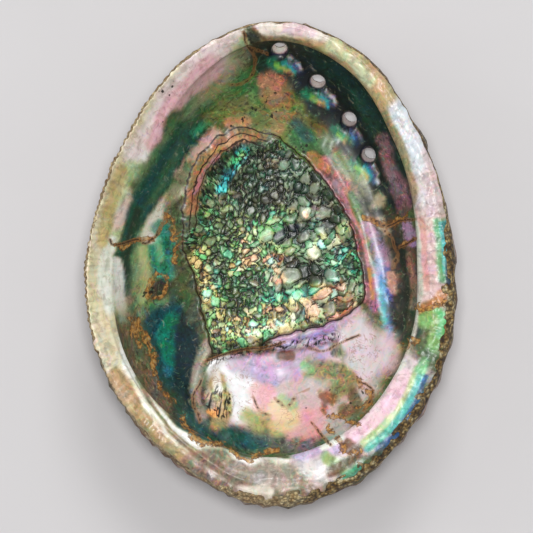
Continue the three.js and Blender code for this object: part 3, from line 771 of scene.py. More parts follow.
BAND_DABS = tuple(Dab(*row) for row in (
    ((220, 212, 186), ((-21.5, 65), (-34, 52), (-43.5, 37.5), (-51.5, 22.5), (-55.5, 5), (-56, -13),
        (-53.5, -28), (-47, -42.5)), 9, 5),
    ((236, 220, 220), ((-11, 70.5), (-19.5, 65), (-27, 57.5), (-34, 48), (-40, 37)), 6.5, 2.5),
    # The next two white streaks are painted highlights on the left band.
    ((246, 242, 238), ((-24, 60), (-31, 51.5), (-38, 41), (-43, 32)), 1.6, 1.8, 0.8),
    ((240, 236, 232), ((-47, 26), (-51, 14)), 1.4, 1.6, 0.8),
    ((230, 180, 192), ((-18.5, 65), (-26, 57), (-33, 49), (-38.5, 40)), 3, 3, 0.85),
    ((214, 160, 170), ((-17, 59), (-23, 53.5)), 1.4, 1.8, 0.7),
    ((216, 206, 170), ((-13, 61.5), (-19.5, 55)), 2.4, 2.6, 0.7),
    ((168, 190, 140), ((-24, 52), (-29.5, 45.5)), 2, 2.4, 0.6),
    ((186, 208, 166), ((-44.5, 31), (-49, 20), (-51.5, 9)), 3, 3, 0.8),
    ((218, 188, 190), ((-42, 26.5), (-46.5, 18), (-50, 13.5)), 2, 2.4, 0.7),
    ((232, 238, 226), ((-52.5, 7), (-53.5, -4), (-52.5, -15)), 2, 2, 0.9),
    ((200, 184, 140), ((-48, 31), (-52.5, 18), (-55.5, 7)), 1.6, 2, 0.8),
    ((96, 132, 96), ((-14, 59), (-21, 51.5), (-29.5, 43), (-36, 34), (-41.5, 24)), 4.6, 2.6),
    # This stroke, the next and the third after it are the dark teal swath at the foot of the left band:
    # partly the nacre's own dark teal, partly painted shade on the wall under the band.
    ((22, 92, 80), ((-13.4, 56.2), (-22.1, 48.3), (-30.8, 39.6), (-37.1, 30.9), (-41.9, 22.2),
        (-45, 12.6), (-47.2, 3.1), (-48, -8.7)), 2.6, 1.8),
    ((14, 80, 90), ((-24, 46), (-32, 38), (-38.5, 28.5), (-42.5, 20)), 0.9, 1.2, 0.8),
    ((60, 150, 120), ((-15, 53.5), (-19, 49.5), (-24, 45)), 0.7, 1.2, 0.7),
    ((30, 58, 46), ((-43.5, 17), (-46, 8), (-47.5, -4)), 1, 1.2, 0.85),
    ((150, 168, 128), ((-8.5, 71.5), (-11, 66)), 3, 3, 0.8),
    ((210, 160, 170), ((-11, 64.5), (-8.5, 62)), 1.6, 1.8, 0.8),
    ((48, 66, 58), ((-5, 69.5), (-3, 66), (0, 70.5)), 2, 1.8, 0.9),
    # A white line of painted highlight along the left band's inner edge.
    ((226, 228, 222), ((-50, 0.5), (-49, -13), (-46.5, -26)), 1.2, 1.4),
    ((214, 206, 186), ((-51.5, -29), (-44.5, -43.5), (-35, -56.5), (-21.5, -66.5)), 5, 3),
    # The next three strokes are the double ridge at the lower left: white lines of painted highlight on its
    # two crests, with the grey-brown groove between them.
    ((240, 242, 236), ((-48, -20), (-46.5, -32), (-45, -37.5), (-37.1, -49.4), (-24.5, -59.8),
        (-15, -63.6), (-5.4, -65.7), (7.3, -66.5)), 1.5, 1),
    ((150, 146, 126), ((-43.5, -38), (-37, -49.5), (-28.5, -59), (-18.5, -65), (-8.5, -66.5)), 0.7, 0.9,
        0.9),
    ((226, 226, 212), ((-44.5, -40), (-37, -52), (-28.5, -61.5), (-18.5, -67.5), (-7.5, -69)), 0.9, 0.9,
        0.9),
    ((168, 148, 112), ((-50, -37), (-41.5, -51), (-29.5, -63), (-17.5, -71)), 2, 2, 0.8),
    ((148, 138, 128), ((-22, -67), (-7.5, -71), (4.5, -72), (15, -70), (22, -66)), 5.6, 2.4),
    ((176, 158, 156), ((-4, -72), (4.5, -73)), 2, 2, 0.8),
    ((214, 208, 200), ((-8.5, -75), (0, -75.5)), 1.4, 1.6, 0.8),
    ((208, 200, 204), ((15.5, -64), (27.5, -57.5), (38.5, -46.5), (45, -36)), 7, 3),
    ((196, 182, 216), ((11, -63), (20, -60), (28.5, -55.5)), 2.2, 2, 0.8),
    ((226, 232, 226), ((17.5, -61), (28.5, -54), (37.5, -44), (44, -32.5)), 1, 1),
    ((236, 200, 214), ((27, -57), (34, -52), (40, -45.5), (45, -38)), 2.4, 1.6, 0.85),
    ((180, 202, 150), ((31, -60), (39, -53), (45.5, -44.5), (49.5, -35)), 1.3, 1.4, 0.85),
    ((84, 186, 184), ((32, -61.5), (39.5, -55), (46, -46), (50, -37)), 0.9, 1.2, 0.9),
    ((40, 104, 160), ((35, -61.5), (41.5, -55.5), (48, -46), (51.5, -37)), 0.5, 0.8, 0.85),
    ((120, 190, 150), ((49.5, -35), (51, -32)), 1.2, 1.2, 0.8),
    ((146, 170, 98), ((19, -64.5), (23, -67), (26, -69.5)), 1.6, 2, 0.8),
    ((84, 170, 150), ((24.5, -70), (28.5, -67)), 0.9, 1.2, 0.75),
    ((110, 78, 36), ((25.5, -60), (28.5, -63), (20, -68.5)), 1.6, 1.4, 0.9),
    ((206, 186, 188), ((51.5, -15), (52.5, -2), (52, 12.5), (49.5, 24.5)), 6, 3),
    ((178, 132, 66), ((50.5, -15), (54, -14), (57, -10.5)), 1.8, 1.6, 0.9),
    ((136, 180, 118), ((50.5, -19.5), (55, -18), (54, -26)), 2.4, 2, 0.9),
    ((116, 190, 150), ((55.5, -16), (57, -19), (55.5, -24)), 1, 1.4, 0.85),
    ((206, 160, 160), ((50, 13.5), (51, 2.5), (51.5, -8.5)), 0.9, 1, 0.7),
    ((196, 198, 192), ((44, 31), (47, 18), (49, 5), (49.5, -6), (48.5, -17), (45, -29)), 0.8, 0.9),
    ((96, 170, 136), ((55.5, 13.5), (56.5, 5), (57, -5)), 1, 1.8, 0.85),
    ((76, 176, 186), ((56.5, 13), (57.5, 4), (58, -3)), 0.5, 0.9, 0.85),
    ((30, 50, 92), ((57.5, 13), (58.7, 4), (58.6, -7)), 0.5, 0.8, 0.9),
    ((206, 204, 206), ((33, 60.5), (40.5, 48.5), (46, 36.5), (50.5, 23.5)), 5, 3),
    ((206, 184, 190), ((48.5, 40), (52.5, 26.5), (54, 18)), 2, 2, 0.8),
    ((206, 212, 220), ((38.5, 55), (44, 44), (48.5, 32)), 2, 2, 0.9),
    ((168, 158, 138), ((11, 72), (22, 65.5), (31, 57.5), (38.5, 46.5), (44, 34.5), (47, 20)), 1.6, 1.4),
    ((186, 172, 144), ((0, 75.5), (13.5, 74.5), (24, 68.5), (31, 61.5), (36, 54)), 5, 2.4),
    ((224, 216, 210), ((-2, 77), (9, 77.5), (17.5, 75)), 2.4, 2, 0.9),
    ((206, 182, 196), ((5.5, 77), (13.5, 75.5)), 1.2, 1.4, 0.7),
    ((200, 210, 186), ((20, 71), (27.5, 65.5), (33, 59.5)), 1.6, 1.6, 0.7),
    ((140, 126, 104), ((-1, 73.5), (9, 72), (20, 66)), 1.2, 1.4, 0.8),
    ((40, 50, 42), ((-5.5, 75), (-4.5, 72.5), (-3.5, 70)), 1.6, 1.5, 0.9),
    ((26, 24, 20), ((-8.5, 75.5), (-6.5, 73), (-5.5, 69), (-7.5, 64.5), (-12, 60.5)), 0.5, 0.6, 0.9),
    ((112, 84, 60), ((-5, 77), (-3.5, 75), (-1.5, 73.5)), 0.5, 0.7, 0.8),
))
STAINS = (
    ((-49.5, 6), (-47, 6), (-42, 7.5), (-39, 7), (-36, 9.5), (-33, 17)),
    ((-45.5, -18.5), (-43, -21), (-40.5, -27), (-38.5, -34), (-36, -40), (-32, -47)),
    ((-42.5, -19), (-41, -23), (-39, -27.5), (-37.5, -33)),
    ((-43.5, -22.5), (-42, -28)),
    ((-40.5, -7), (-37.5, -4.5), (-33.5, -6), (-34.5, -10.5), (-39, -11.5), (-40.5, -7)),
    ((-33.5, 17.5), (-30.5, 15.5), (-31, 8.5), (-30, 0.5)),
    ((-28, -52), (-22, -59), (-15, -61.5), (-6, -63.5), (3, -63.5)),
    ((50, -13.5), (54, -15), (58.5, -11.5)),
    ((45, -28), (48.5, -26)),
    ((19, -55.5), (24, -60.5), (29, -62.5)),
    ((30, -39.5), (33.5, -42), (35, -46), (31, -49.5)),
    ((17.5, -51.5), (25, -52.5), (29, -54.5)),
    ((33.5, 15.5), (37.5, 14), (41.5, 14.5), (47.5, 14)),
    ((43.5, 6.5), (47.5, 8)),
)
CRACKS = (
    ((-52.5, 7.5), (-51, 5.8), (-47.5, 6.6), (-43.5, 7.6), (-41, 6.2), (-37, 9.5), (-33.5, 17.5)),
    ((33, 15), (36, 13.2), (39, 12), (42.5, 13.8), (47.8, 14.2)),
    ((35.5, 15), (37.5, 11), (40.5, 7.5), (41.5, 3), (40.5, -2)),
    ((43, 5.2), (45.5, 6.3), (48, 8)),
    ((-9, 76), (-7, 71), (-4.5, 67), (-6, 62), (-9.5, 59.5), (-13.5, 59)),
    ((-7, 71), (-3, 69.5), (0, 68)),
    ((13, -28.5), (18, -29.5), (23, -27), (30, -24)),
    ((-21, -33), (-15, -30.8), (-8, -29), (-1.5, -28.5), (5, -26.5)),
    ((29, -39.5), (33, -41), (34.5, -44), (32, -48), (30, -51)),
    ((2, -45), (6, -48), (9, -44), (13, -42)),
    ((14, -53), (17, -57), (20, -60)),
    ((-6, -44), (-3, -49), (1, -51)),
    ((-23, -39), (-25, -46), (-23, -53)),
)
SPECKS = (
    (-4, 52.5, 7.5, 30),
    (2, 49.5, 4, 12),
    (-9.5, 47, 4, 10),
    (10, 37, 6, 12),
    (-33, 57, 6, 9),
    (22, 48, 4, 6),
    (-40, -10, 4, 9),
    (-15, -47, 5, 9),
    (17, -44, 6, 8),
    (-30, 46, 9, 8),
    (30, -44, 4, 7),
)
# Arcs of painted shade along the outward side of each open hole's mouth, and beside the first closed hole.
HOLE_SHADE_ARCS = (
    ((0.5, 70.8), (3.4, 72), (6.5, 71), (8, 68)),
    ((11, 58.5), (12.5, 61), (15.6, 62), (19, 60.5)),
    ((21.5, 46), (23, 49), (26, 50), (29, 48.5)),
    ((28, 34), (29, 37), (32, 38.6), (35, 37)),
    ((37, 24), (39.5, 21.5), (40.5, 19)),
)


def beside_holes() -> list[Dab]:
    """Strokes around each open hole: a dark blue hollow deepened by painted shade, a green and cyan crescent
    on its lower left with a yellow-green painted highlight, pale and blue streaks that run down the groove to
    the next hole, the pale one a painted highlight on the groove's fold, and two near-black strokes of
    painted shade."""
    dabs = []
    after = HOLES[1:] + (Hole(*CLOSED_HOLES[0], 0.3),)
    for hole, following in zip(HOLES, after):
        x, y = hole.x, hole.y
        along = np.array([following.x - x, following.y - y])
        along /= np.linalg.norm(along)
        side = np.array([along[1], -along[0]])

        def at(forward: float, right: float) -> tuple[float, float]:
            """The place so far along the row from the hole, and so far to its right."""
            px, py = np.array([x, y]) + along * forward - side * right
            return float(px), float(py)

        dabs += [
            # A dark blue hollow: the nacre's own dark blue, deepened as painted shade in the funnel round the
            # hole.
            Dab((20, 40, 58), (at(-3, 0), at(0, 0), at(4, 0.5), at(9, 1)), 3.4, 2.6, 0.85),
            Dab((36, 150, 128), (at(0, -4.6), at(2.6, -4.2), at(4.6, -2.6)), 1.0, 1.4, 0.85),
            # A yellow-green painted highlight inside the crescent.
            Dab((166, 206, 104), (at(2.0, -4.4), at(4.2, -3.4), at(6.4, -2.6)), 0.35, 0.8, 0.8),
            Dab((206, 176, 120), (at(5.0, -3.4), at(7.4, -2.4)), 0.35, 0.8, 0.75),
            Dab((56, 190, 200), (at(3.2, -2.4), at(5.0, -1.5), at(8.0, -1.8)), 0.4, 0.7, 0.9),
            Dab((96, 128, 176), (at(3.6, -0.8), at(6, -0.4), at(9, -0.9)), 0.45, 0.7, 0.8),
            # A pale streak of painted highlight along the groove's fold.
            Dab((214, 222, 236), (at(3.8, 0.5), at(6, 0.9), at(9.5, 0.2)), 0.35, 0.6, 0.9),
            # Two near-black strokes of painted shade: one beside the groove, one behind the hole.
            Dab((16, 22, 30), (at(4.2, 1.6), at(7, 2.0), at(10, 1.2)), 0.6, 0.9, 0.9),
            Dab((12, 20, 30), (at(-2.8, -2.0), at(-3.6, 0.5), at(-2.0, 3.0)), 0.7, 1.1, 0.85),
        ]
    return dabs


@dataclass
class InsideColour:
    """Colours and marks of the inside, for each point of it.

    Attributes:
        x: places across.
        y: places along.
        angle: directions.
        place: places along the half section.
        inset: distance inside the rim's outer edge.
    """

    x: Array
    y: Array
    angle: Array
    place: Array
    inset: Array
    warped: tuple[Array, Array] = field(init=False)

    def __post_init__(self) -> None:
        """Works out the wavy coordinates, which give the patches ragged edges."""
        wx = 1.5 * Grain(41).layers(self.x, self.y, 8.0, 4)
        wy = 1.5 * Grain(43).layers(self.x, self.y, 8.0, 4)
        self.warped = self.x + wx, self.y + wy

    def on_band(self) -> Array:
        """1 on the shelf and band, 0 below them: a step at the shelf's edge, softer on the lip side."""
        turn = np.mod(np.degrees(self.angle), 360.0)
        overhung = 1 - smooth(92, 108, turn) * smooth(205, 190, turn)
        sharp = smooth(0.868, 0.878, self.place)
        return overhung * sharp + (1 - overhung) * smooth(0.62, 0.8, self.place)

    def lay(self, dab: Dab, paint: Array, where: Array | float = 1.0) -> None:
        """Lays a dab on, at places that are wavier for a wide dab than for a narrow one."""
        share = min(1.0, 0.08 + dab.reach / 4.5)
        wx, wy = self.warped
        dab.lay(paint, self.x + (wx - self.x) * share, self.y + (wy - self.y) * share, where)

    def paint(self, scar: Array, tone: Array) -> Array:
        """The base colour, laid on from the broadest patch to the finest.

        Args:
            scar: depth inside the scar.
            tone: each scale's random tone.

        Returns:
            Linear colours, one row each.
        """
        paint = np.tile(to_linear((98, 116, 86)), (len(self.x), 1))
        for dab in (*FLOOR_DABS, *beside_holes()):
            self.lay(dab, paint)
        self.scar_colour(paint, scar, tone)
        band = self.on_band()
        for dab in BAND_DABS:
            self.lay(dab, paint, band)
        return paint

    def scar_colour(self, paint: Array, scar: Array, tone: Array) -> None:
        """Colours the scar: dark green in front, cream and gold at the back, each scale with its own shade
        and tint, and a smooth pink and tan ledge on its front left.

        Args:
            paint: linear colours, changed in place.
            scar: depth inside the scar.
            tone: each scale's random tone.
        """
        pad = np.tile(to_linear((104, 128, 106)), (len(self.x), 1))
        for dab in SCAR_DABS:
            self.lay(dab, pad)
        tints = np.array(
            (
                (0.85, 1.1, 1.0), (1.1, 1.0, 0.8), (0.45, 1.2, 1.25), (1.05, 1.05, 0.85), (0.65, 1.2, 0.95),
                (1.2, 0.98, 1.0),
            )
        )
        tint = tints[np.minimum((tone * 37 % 1 * len(tints)).astype(int), len(tints) - 1)]
        shade = np.interp(tone, (0, 0.25, 0.5, 0.75, 0.9, 1), (0.4, 0.65, 0.95, 1.25, 1.5, 1.75))
        shade = shade * (1 + 0.35 * Grain(57).layers(self.x, self.y, 1.6, 3))
        scaly = np.clip(pad * tint * shade[:, None], 0, 0.95)
        for dab in LEDGE_DABS:
            self.lay(dab, pad)
        on_scales = RELIEF.scaled(self.x, self.y, scar)[:, None]
        mixed = pad * (1 - on_scales) + scaly * on_scales
        paint += (mixed - paint) * smooth(-0.15, 0.25, scar)[:, None]


LEDGE_DABS = tuple(Dab(*row) for row in (
    ((168, 136, 108), ((-26, 18), (-24.5, 30), (-19, 38), (-12, 42), (-4, 42.5)), 2.6, 1),
    ((190, 152, 170), ((-25.5, 24), (-22, 31), (-18, 36)), 0.9, 0.8, 0.9),
    ((206, 180, 140), ((-20, 37), (-14, 40.5), (-8, 41.5)), 0.7, 0.7, 0.8),
    ((128, 116, 82), ((-24, 20), (-20.5, 31), (-15, 36)), 0.8, 0.7, 0.7),
    ((92, 112, 88), ((-27, 12), (-27, 6), (-25.5, 0)), 1.2, 1.2, 0.8),
))
SCAR_DABS = tuple(Dab(*row) for row in (
    ((74, 94, 82), ((-12, 34), (-3, 30), (8, 24), (16, 18), (22, 8)), 9, 5),
    ((58, 74, 64), ((-4, 22), (4, 22), (10, 26)), 5, 4, 0.9),
    ((64, 176, 190), ((-16, 24), (-13, 32), (-9, 37)), 1.4, 1.8, 0.9),
    ((150, 196, 130), ((-14, 33), (-9, 36.5)), 0.8, 1.2, 0.7),
    ((92, 124, 108), ((14, 6), (20, 2), (24, -6)), 6, 5, 0.9),
    ((140, 162, 130), ((-8, 12), (0, 8), (4, 14)), 5, 4, 0.9),
    ((176, 178, 148), ((-10, 4), (-6, 8), (-4, 2)), 3, 3, 0.8),
    ((112, 116, 84), ((-24, 0), (-20, -8), (-16, -16)), 6, 4, 0.9),
    ((182, 176, 130), ((-24, 2), (-22, -6), (-18, -14)), 3, 3, 0.85),
    ((110, 176, 176), ((-20, -1), (-17, -7)), 1.2, 1.6, 0.7),
    ((104, 132, 112), ((-4, -6), (4, -8), (10, -6)), 5, 4, 0.8),
    ((214, 178, 168), ((0, 1), (5, -1), (4, -4), (0, -3)), 2.2, 1.2),
    ((24, 30, 66), ((2, 9), (6, 11), (9, 12)), 0.8, 1, 0.95),
    ((192, 184, 152), ((-16, -22), (-6, -22), (4, -18), (14, -14), (22, -12)), 4.6, 3),
    ((196, 186, 148), ((-14, -25), (-4, -24), (6, -20)), 2.2, 2.5, 0.8),
    ((188, 152, 144), ((12, -17), (22, -11), (26, -14), (20, -17)), 2.2, 2.5, 0.9),
    ((80, 180, 168), ((-2, -12), (6, -11), (14, -10)), 1.2, 1.6, 0.7),
    ((34, 48, 62), ((3, 7), (6, 8.5), (9, 10)), 0.9, 0.8),
    ((150, 176, 190), ((14, 18), (17, 13)), 1.6, 2, 0.6),
    ((226, 196, 186), ((12, 17), (12.5, 16)), 0.8, 0.5),
    ((190, 200, 150), ((16, 6), (18, 9)), 1.2, 1.2, 0.8),
    ((214, 196, 166), ((-8, 2), (-5, 5), (-8, 6)), 2.2, 1.6, 0.9),
    ((222, 200, 180), ((-12, -1), (-9, 0)), 1.5, 1.2, 0.8),
    ((196, 214, 190), ((16, 4), (22, 8), (25, 12)), 2.4, 2, 0.6),
    ((140, 190, 170), ((18, -2), (27, 2), (28, -4)), 1.6, 2, 0.7),
    ((50, 64, 58), ((6, -2), (12, -4), (18, -3)), 2.6, 2.4, 0.9),
    ((216, 206, 190), ((23, -6), (25, -9)), 1.2, 1, 0.9),
    ((214, 208, 176), ((-22, -8), (-20, -16), (-17, -22)), 1.6, 2, 0.7),
    ((230, 222, 196), ((-10, -24), (-2, -22.5), (8, -19)), 1.2, 1.6, 0.7),
))


# ---- The mesh ----


FAR = 9.0  # millimetres: a mark farther off than this isn't told apart
MEAN_RADIUS = 65.0  # of the rim, for lines that run along it
BACK_RUN = 70.0  # length of the back's half section, for lines across it
FLOOR_END = 0.7  # the place at which the scar and its scales stop at the latest
WALL_RINGS = (0, 18, 30, 34, 39, 60)  # rings outside the inside's disc, and the places they reach
WALL_PLACES = (0, 0.42, 0.64, 0.84, 0.88, 0.905, 1)
BACK_RINGS = 32  # the same for the back
BACK_PLACES = (0, 0.42, 0.975)
LIP_END = 0.992  # the place on the back where the lip's rings end
LIP_RINGS = 7
OUTSIDE_CRUST = 1.5  # the crust mark above which a face wears the back's finish
MARKS = {
    "paint": (3, 0.0), "scar": (1, -FAR), "scaled": (1, 0.0), "edge": (1, 0.0), "centre": (1, 0.0),
    "height": (1, 0.0), "band": (1, 0.0), "stain": (1, FAR), "crack": (1, FAR), "speck": (1, FAR),
    "gap": (1, FAR), "crust": (1, 0.0), "around": (3, 0.0),
}  # each mark's width, and its value where there is nothing to mark


@dataclass
class Sheet:
    """A face of the shell as a round grid: a square grid bent into a disc in the middle, and rings round it.

    Attributes:
        core: rings of the middle disc; each of its rings has eight times its number of points.
        rings: the place along the half section of every ring, the disc's rings first.
    """

    core: int
    rings: Array
    angle: Array = field(init=False)
    place: Array = field(init=False)
    sectors: int = field(init=False)
    loops: list[Array] = field(init=False)

    def __post_init__(self) -> None:
        """Lays out the points: the disc's ring and eighth part give place and angle, then plain rings."""
        k = self.core
        self.sectors = 8 * k
        i, j = np.meshgrid(np.arange(-k, k + 1), np.arange(-k, k + 1))
        i, j = i.ravel(), j.ravel()
        ring = np.maximum(np.abs(i), np.abs(j))
        wide = np.abs(i) >= np.abs(j)
        safe_i, safe_j = np.where(i == 0, 1, i), np.where(j == 0, 1, j)
        angle = np.where(wide, math.pi / 4 * j / safe_i, math.pi / 2 - math.pi / 4 * i / safe_j)
        angle = angle + np.where(np.where(wide, i < 0, j < 0), math.pi, 0.0)
        outer = len(self.rings) - 1 - k
        around = -math.pi / 4 + 2 * math.pi * np.arange(self.sectors) / self.sectors
        self.angle = np.concatenate([angle, np.tile(around, outer)])
        self.place = np.concatenate([self.rings[ring], np.repeat(self.rings[k + 1 :], self.sectors)])
        side = 2 * k + 1

        def at(a: Array | int, b: Array | int) -> Array:
            """The number of the point at a and b in the square grid."""
            return (b + k) * side + (a + k)

        up = np.arange(-k, k)
        edge = np.concatenate(
            [at(k, up), at(-up, np.full_like(up, k)), at(-k, -up), at(up, np.full_like(up, -k))]
        )
        start = side * side
        self.loops = [edge] + [start + m * self.sectors + np.arange(self.sectors) for m in range(outer)]

    def faces(self, blocks: list[tuple[int, int, int, int]]) -> Array:
        """Four-cornered faces of the sheet, seen from above, without the blocks left out for holes.

        Args:
            blocks: first and end sector, then first and end ring, of each block to leave out.

        Returns:
            Rows of four point numbers.
        """
        k = self.core
        side = 2 * k + 1
        a = (np.arange(2 * k)[:, None] * side + np.arange(2 * k)[None, :]).ravel()
        disc = np.column_stack([a, a + 1, a + side + 1, a + side])
        parts = [disc]
        sector = np.arange(self.sectors)
        for m in range(len(self.loops) - 1):
            keep = np.ones(self.sectors, dtype=bool)
            for n0, n1, m0, m1 in blocks:
                if m0 <= m < m1:
                    keep &= ~((sector - n0) % self.sectors < n1 - n0)
            inner, outer = self.loops[m], self.loops[m + 1]
            parts.append(strip(inner, outer)[keep])
        return np.vstack(parts)

    def open_hole(
        self, face: Face, hole: Hole, radius: float
    ) -> tuple[tuple[int, int, int, int], Array, Array]:
        """Makes room for a hole: picks a block of cells and moves the points around it, so that the block's
        edge becomes a circle in plan. A point on the block's edge goes to the matching point of a square
        rounded into a circle, and the move fades away outside it.

        Args:
            face: the face that the sheet is on.
            hole: the hole.
            radius: the circle's radius in millimetres.

        Returns:
            The block, the numbers of the points round its edge anticlockwise, and the hole's middle as
            angle and place.
        """
        angle, place, rate = FORM.place_of(face, hole.x, hole.y)
        reach = math.hypot(hole.x, hole.y)
        ring_place = self.place[[loop[0] for loop in self.loops]]
        step = 2 * math.pi / self.sectors
        n = round((angle + math.pi / 4) / step)
        m = int(np.argmin(np.abs(ring_place - place)))
        across = max(2, round(0.89 * radius / (reach * step)))
        ring_step = abs(ring_place[m + 1] - ring_place[m - 1]) / 2 * rate
        along = max(2, round(0.89 * radius / ring_step))
        block = (n - across, n + across, m - along, m + along)
        turn = np.mod(self.angle - angle + math.pi, 2 * math.pi) - math.pi
        p, q = turn * reach, (self.place - place) * rate
        p_mid, p_half = (n * step - math.pi / 4 - angle) * reach, across * step * reach
        q_ends = (ring_place[[m - along, m + along]] - place) * rate
        q_mid, q_half = q_ends.mean(), np.ptp(q_ends) / 2
        u, v = (p - p_mid) / p_half, (q - q_mid) / q_half
        rho = np.maximum(np.maximum(np.abs(u), np.abs(v)), 1e-6)
        eu, ev = u / rho, v / rho
        to_p = radius * eu * np.sqrt(1 - ev**2 / 2) - (p_mid + p_half * eu)
        to_q = radius * ev * np.sqrt(1 - eu**2 / 2) - (q_mid + q_half * ev)
        fade = np.where(rho < 0.999, 0.0, smooth(2.3, 1.0, rho))
        self.angle = self.angle + to_p * fade / reach
        self.place = self.place + to_q * fade / rate
        n0, n1, m0, m1 = block
        up, out = np.arange(n0, n1), np.arange(m0, m1)
        s = self.sectors
        ring = [self.loops[m1][k % s] for k in up] + [self.loops[k][n1 % s] for k in out[::-1] + 1]
        ring += [self.loops[m0][k % s] for k in up[::-1] + 1] + [self.loops[k][n0 % s] for k in out]
        return block, np.array(ring), np.array([angle, place])


def strip(inner: Array, outer: Array) -> Array:
    """Four-cornered faces between two closed rows with the same count of points."""
    return np.column_stack([inner, outer, np.roll(outer, -1), np.roll(inner, -1)])


def zipper(first: Array, second: Array, first_turn: Array, second_turn: Array) -> Array:
    """Triangles between two closed rows of points with different counts. Each stretch of either row takes the
    point of the other row that its middle has reached.

    Args:
        first: point numbers of the row on the left when walking forwards with the surface facing up.
        second: point numbers of the other row.
        first_turn: the first row's places round the loop, rising, in radians.
        second_turn: the same for the second row.

    Returns:
        Rows of three point numbers.
    """
    def middles(turn: Array) -> Array:
        """The middle of each stretch of a closed row."""
        after = np.append(turn[1:], turn[0] + 2 * math.pi)
        return (turn + after) / 2

    a_mid, b_mid = middles(first_turn), middles(second_turn)
    to_b = np.searchsorted(b_mid, a_mid) % len(second)
    to_a = np.searchsorted(a_mid, b_mid, side="right") % len(first)
    one = np.column_stack([first, np.roll(first, -1), second[to_b]])
    two = np.column_stack([first[to_a], np.roll(second, -1), second])
    return np.vstack([one, two])


@dataclass
class ShellMesh:
    """The whole shell as one closed surface: the inside, the lip, the back and the tubes of the open holes.

    Attributes:
        core: rings in the middle disc of the inside.
        back_core: rings in the middle disc of the back.
        mouth: radius of a hole where it leaves the inside.
        bore: radius of a hole's bore.
        base: radius of a tube's foot on the back.
        tube_height: how far a tube stands out of the row's keel.
    """

    core: int = 92
    back_core: int = 32
    mouth: float = 3.0
    bore: float = 2.35
    base: float = 5.0
    tube_height: float = 3.0
    points: list[Array] = field(default_factory=list)
    quads: list[Array] = field(default_factory=list)
    triangles: list[Array] = field(default_factory=list)
    marks: dict[str, list[Array]] = field(default_factory=dict)
    count: int = 0

    def add(self, points: Array, **marks: Array) -> Array:
        """Adds points with their marks; one that is left out gets its value for nothing there.

        Args:
            points: rows of x, y and z in millimetres.
            marks: arrays with one value or row for each point.

        Returns:
            The numbers of the new points.
        """
        n = len(points)
        self.points.append(points)
        for name, (width, absent) in MARKS.items():
            value = marks.get(name)
            if value is None:
                value = np.full((n, width) if width > 1 else n, absent)
            self.marks.setdefault(name, []).append(value)
        numbers = self.count + np.arange(n)
        self.count += n
        return numbers

    @staticmethod
    def normals(points: Array, quads: Array) -> Array:
        """Each point's normal: the sum of the cross products of its faces' diagonals, made one long.

        Args:
            points: rows of x, y and z.
            quads: rows of four point numbers.

        Returns:
            Rows of unit normals.
        """
        cross = np.cross(points[quads[:, 2]] - points[quads[:, 0]], points[quads[:, 3]] - points[quads[:, 1]])
        total = np.zeros_like(points)
        for k in range(4):
            np.add.at(total, quads[:, k], cross)
        return total / np.maximum(np.linalg.norm(total, axis=1, keepdims=True), 1e-9)

    def build(self) -> bpy.types.Object:
        """Builds the inside, lip, back and tubes, and puts them into one mesh.

        Returns:
            The shell.
        """
        inside, inner_loops = self.build_inside()
        back, outer_loops = self.build_back()
        rim = self.build_lip(inside)
        turn = -math.pi / 4 + 2 * math.pi * np.arange(len(rim)) / len(rim)
        back_turn = -math.pi / 4 + 2 * math.pi * np.arange(len(back)) / len(back)
        self.triangles.append(zipper(back, rim, back_turn, turn))
        for hole, inner, outer in zip(HOLES, inner_loops, outer_loops):
            self.build_tube(hole, inner, outer)
        return self.to_object("shell")

    def build_inside(self) -> tuple[tuple[Array, Array], list[Array]]:
        """The inside, from the middle of the floor to the edge of the nacre.

        Returns:
            The outermost ring's point numbers and angles, and the edge of each hole.
        """
        k = self.core
        steps = [0, *(k + extra for extra in WALL_RINGS)]
        rings = np.interp(np.arange(steps[-1] + 1), steps, WALL_PLACES)
        sheet = Sheet(k, rings)
        opened = [sheet.open_hole(Face.INSIDE, hole, self.mouth) for hole in HOLES]
        quads = sheet.faces([o[0] for o in opened])
        angle, place = sheet.angle, sheet.place
        base = FORM.point(Face.INSIDE, angle, place)
        x, y = base[:, 0], base[:, 1]
        inset = FORM.radius(angle) - np.hypot(x, y)
        scar = depth_inside(SCAR, x, y) + 0.5 * Grain(51).layers(x, y, 3.0, 3)
        edge, centre, tone, height = RELIEF.scales(x, y)
        rise = RELIEF.inside(x, y, place, scar, height) + RELIEF.band(x, y, angle, place, inset)
        points = base + self.normals(base, quads) * rise[:, None]
        colour = InsideColour(x, y, angle, place, inset)
        on_floor = 1 - smooth(0.80, 0.87, place)
        scar_mark = np.where(place < FLOOR_END, scar, -FAR)
        crusted = crust_width(np.degrees(angle)) * (0.9 + 0.5 * Grain(62).layers(x, y, 4.0, 3))
        numbers = self.add(
            points,
            paint=colour.paint(scar_mark, tone),
            scar=scar_mark,
            scaled=np.where(place < FLOOR_END, RELIEF.scaled(x, y, scar), 0.0),
            crust=smooth(0.35, -0.35, inset - crusted),
            edge=edge,
            centre=centre,
            height=height,
            band=colour.on_band(),
            stain=self.nearness(STAINS, colour.warped),
            speck=self.speck_distance(x, y),
            crack=self.nearness(CRACKS, (x + 0.35 * Grain(61).layers(x, y, 2.5, 2), y)),
            # painted shade at the mouths of the holes
            gap=self.nearness(HOLE_SHADE_ARCS, (x, y)) + FAR * (1 - on_floor),
            around=round_rim(angle, inset),
        )
        self.quads.append(numbers[quads])
        return (numbers[sheet.loops[-1]], angle[sheet.loops[-1]]), [numbers[o[1]] for o in opened]

    @staticmethod
    def nearness(lines: tuple[Points, ...], at: tuple[Array, Array]) -> Array:
        """Distance to the nearest of several curves, in plan, up to FAR.

        Args:
            lines: the curves' points.
            at: places across and along.

        Returns:
            Distances in millimetres.
        """
        nearest = np.full(at[0].shape, FAR)
        for points in lines:
            nearest = np.minimum(nearest, distance_to(curve(points), *at))
        return nearest

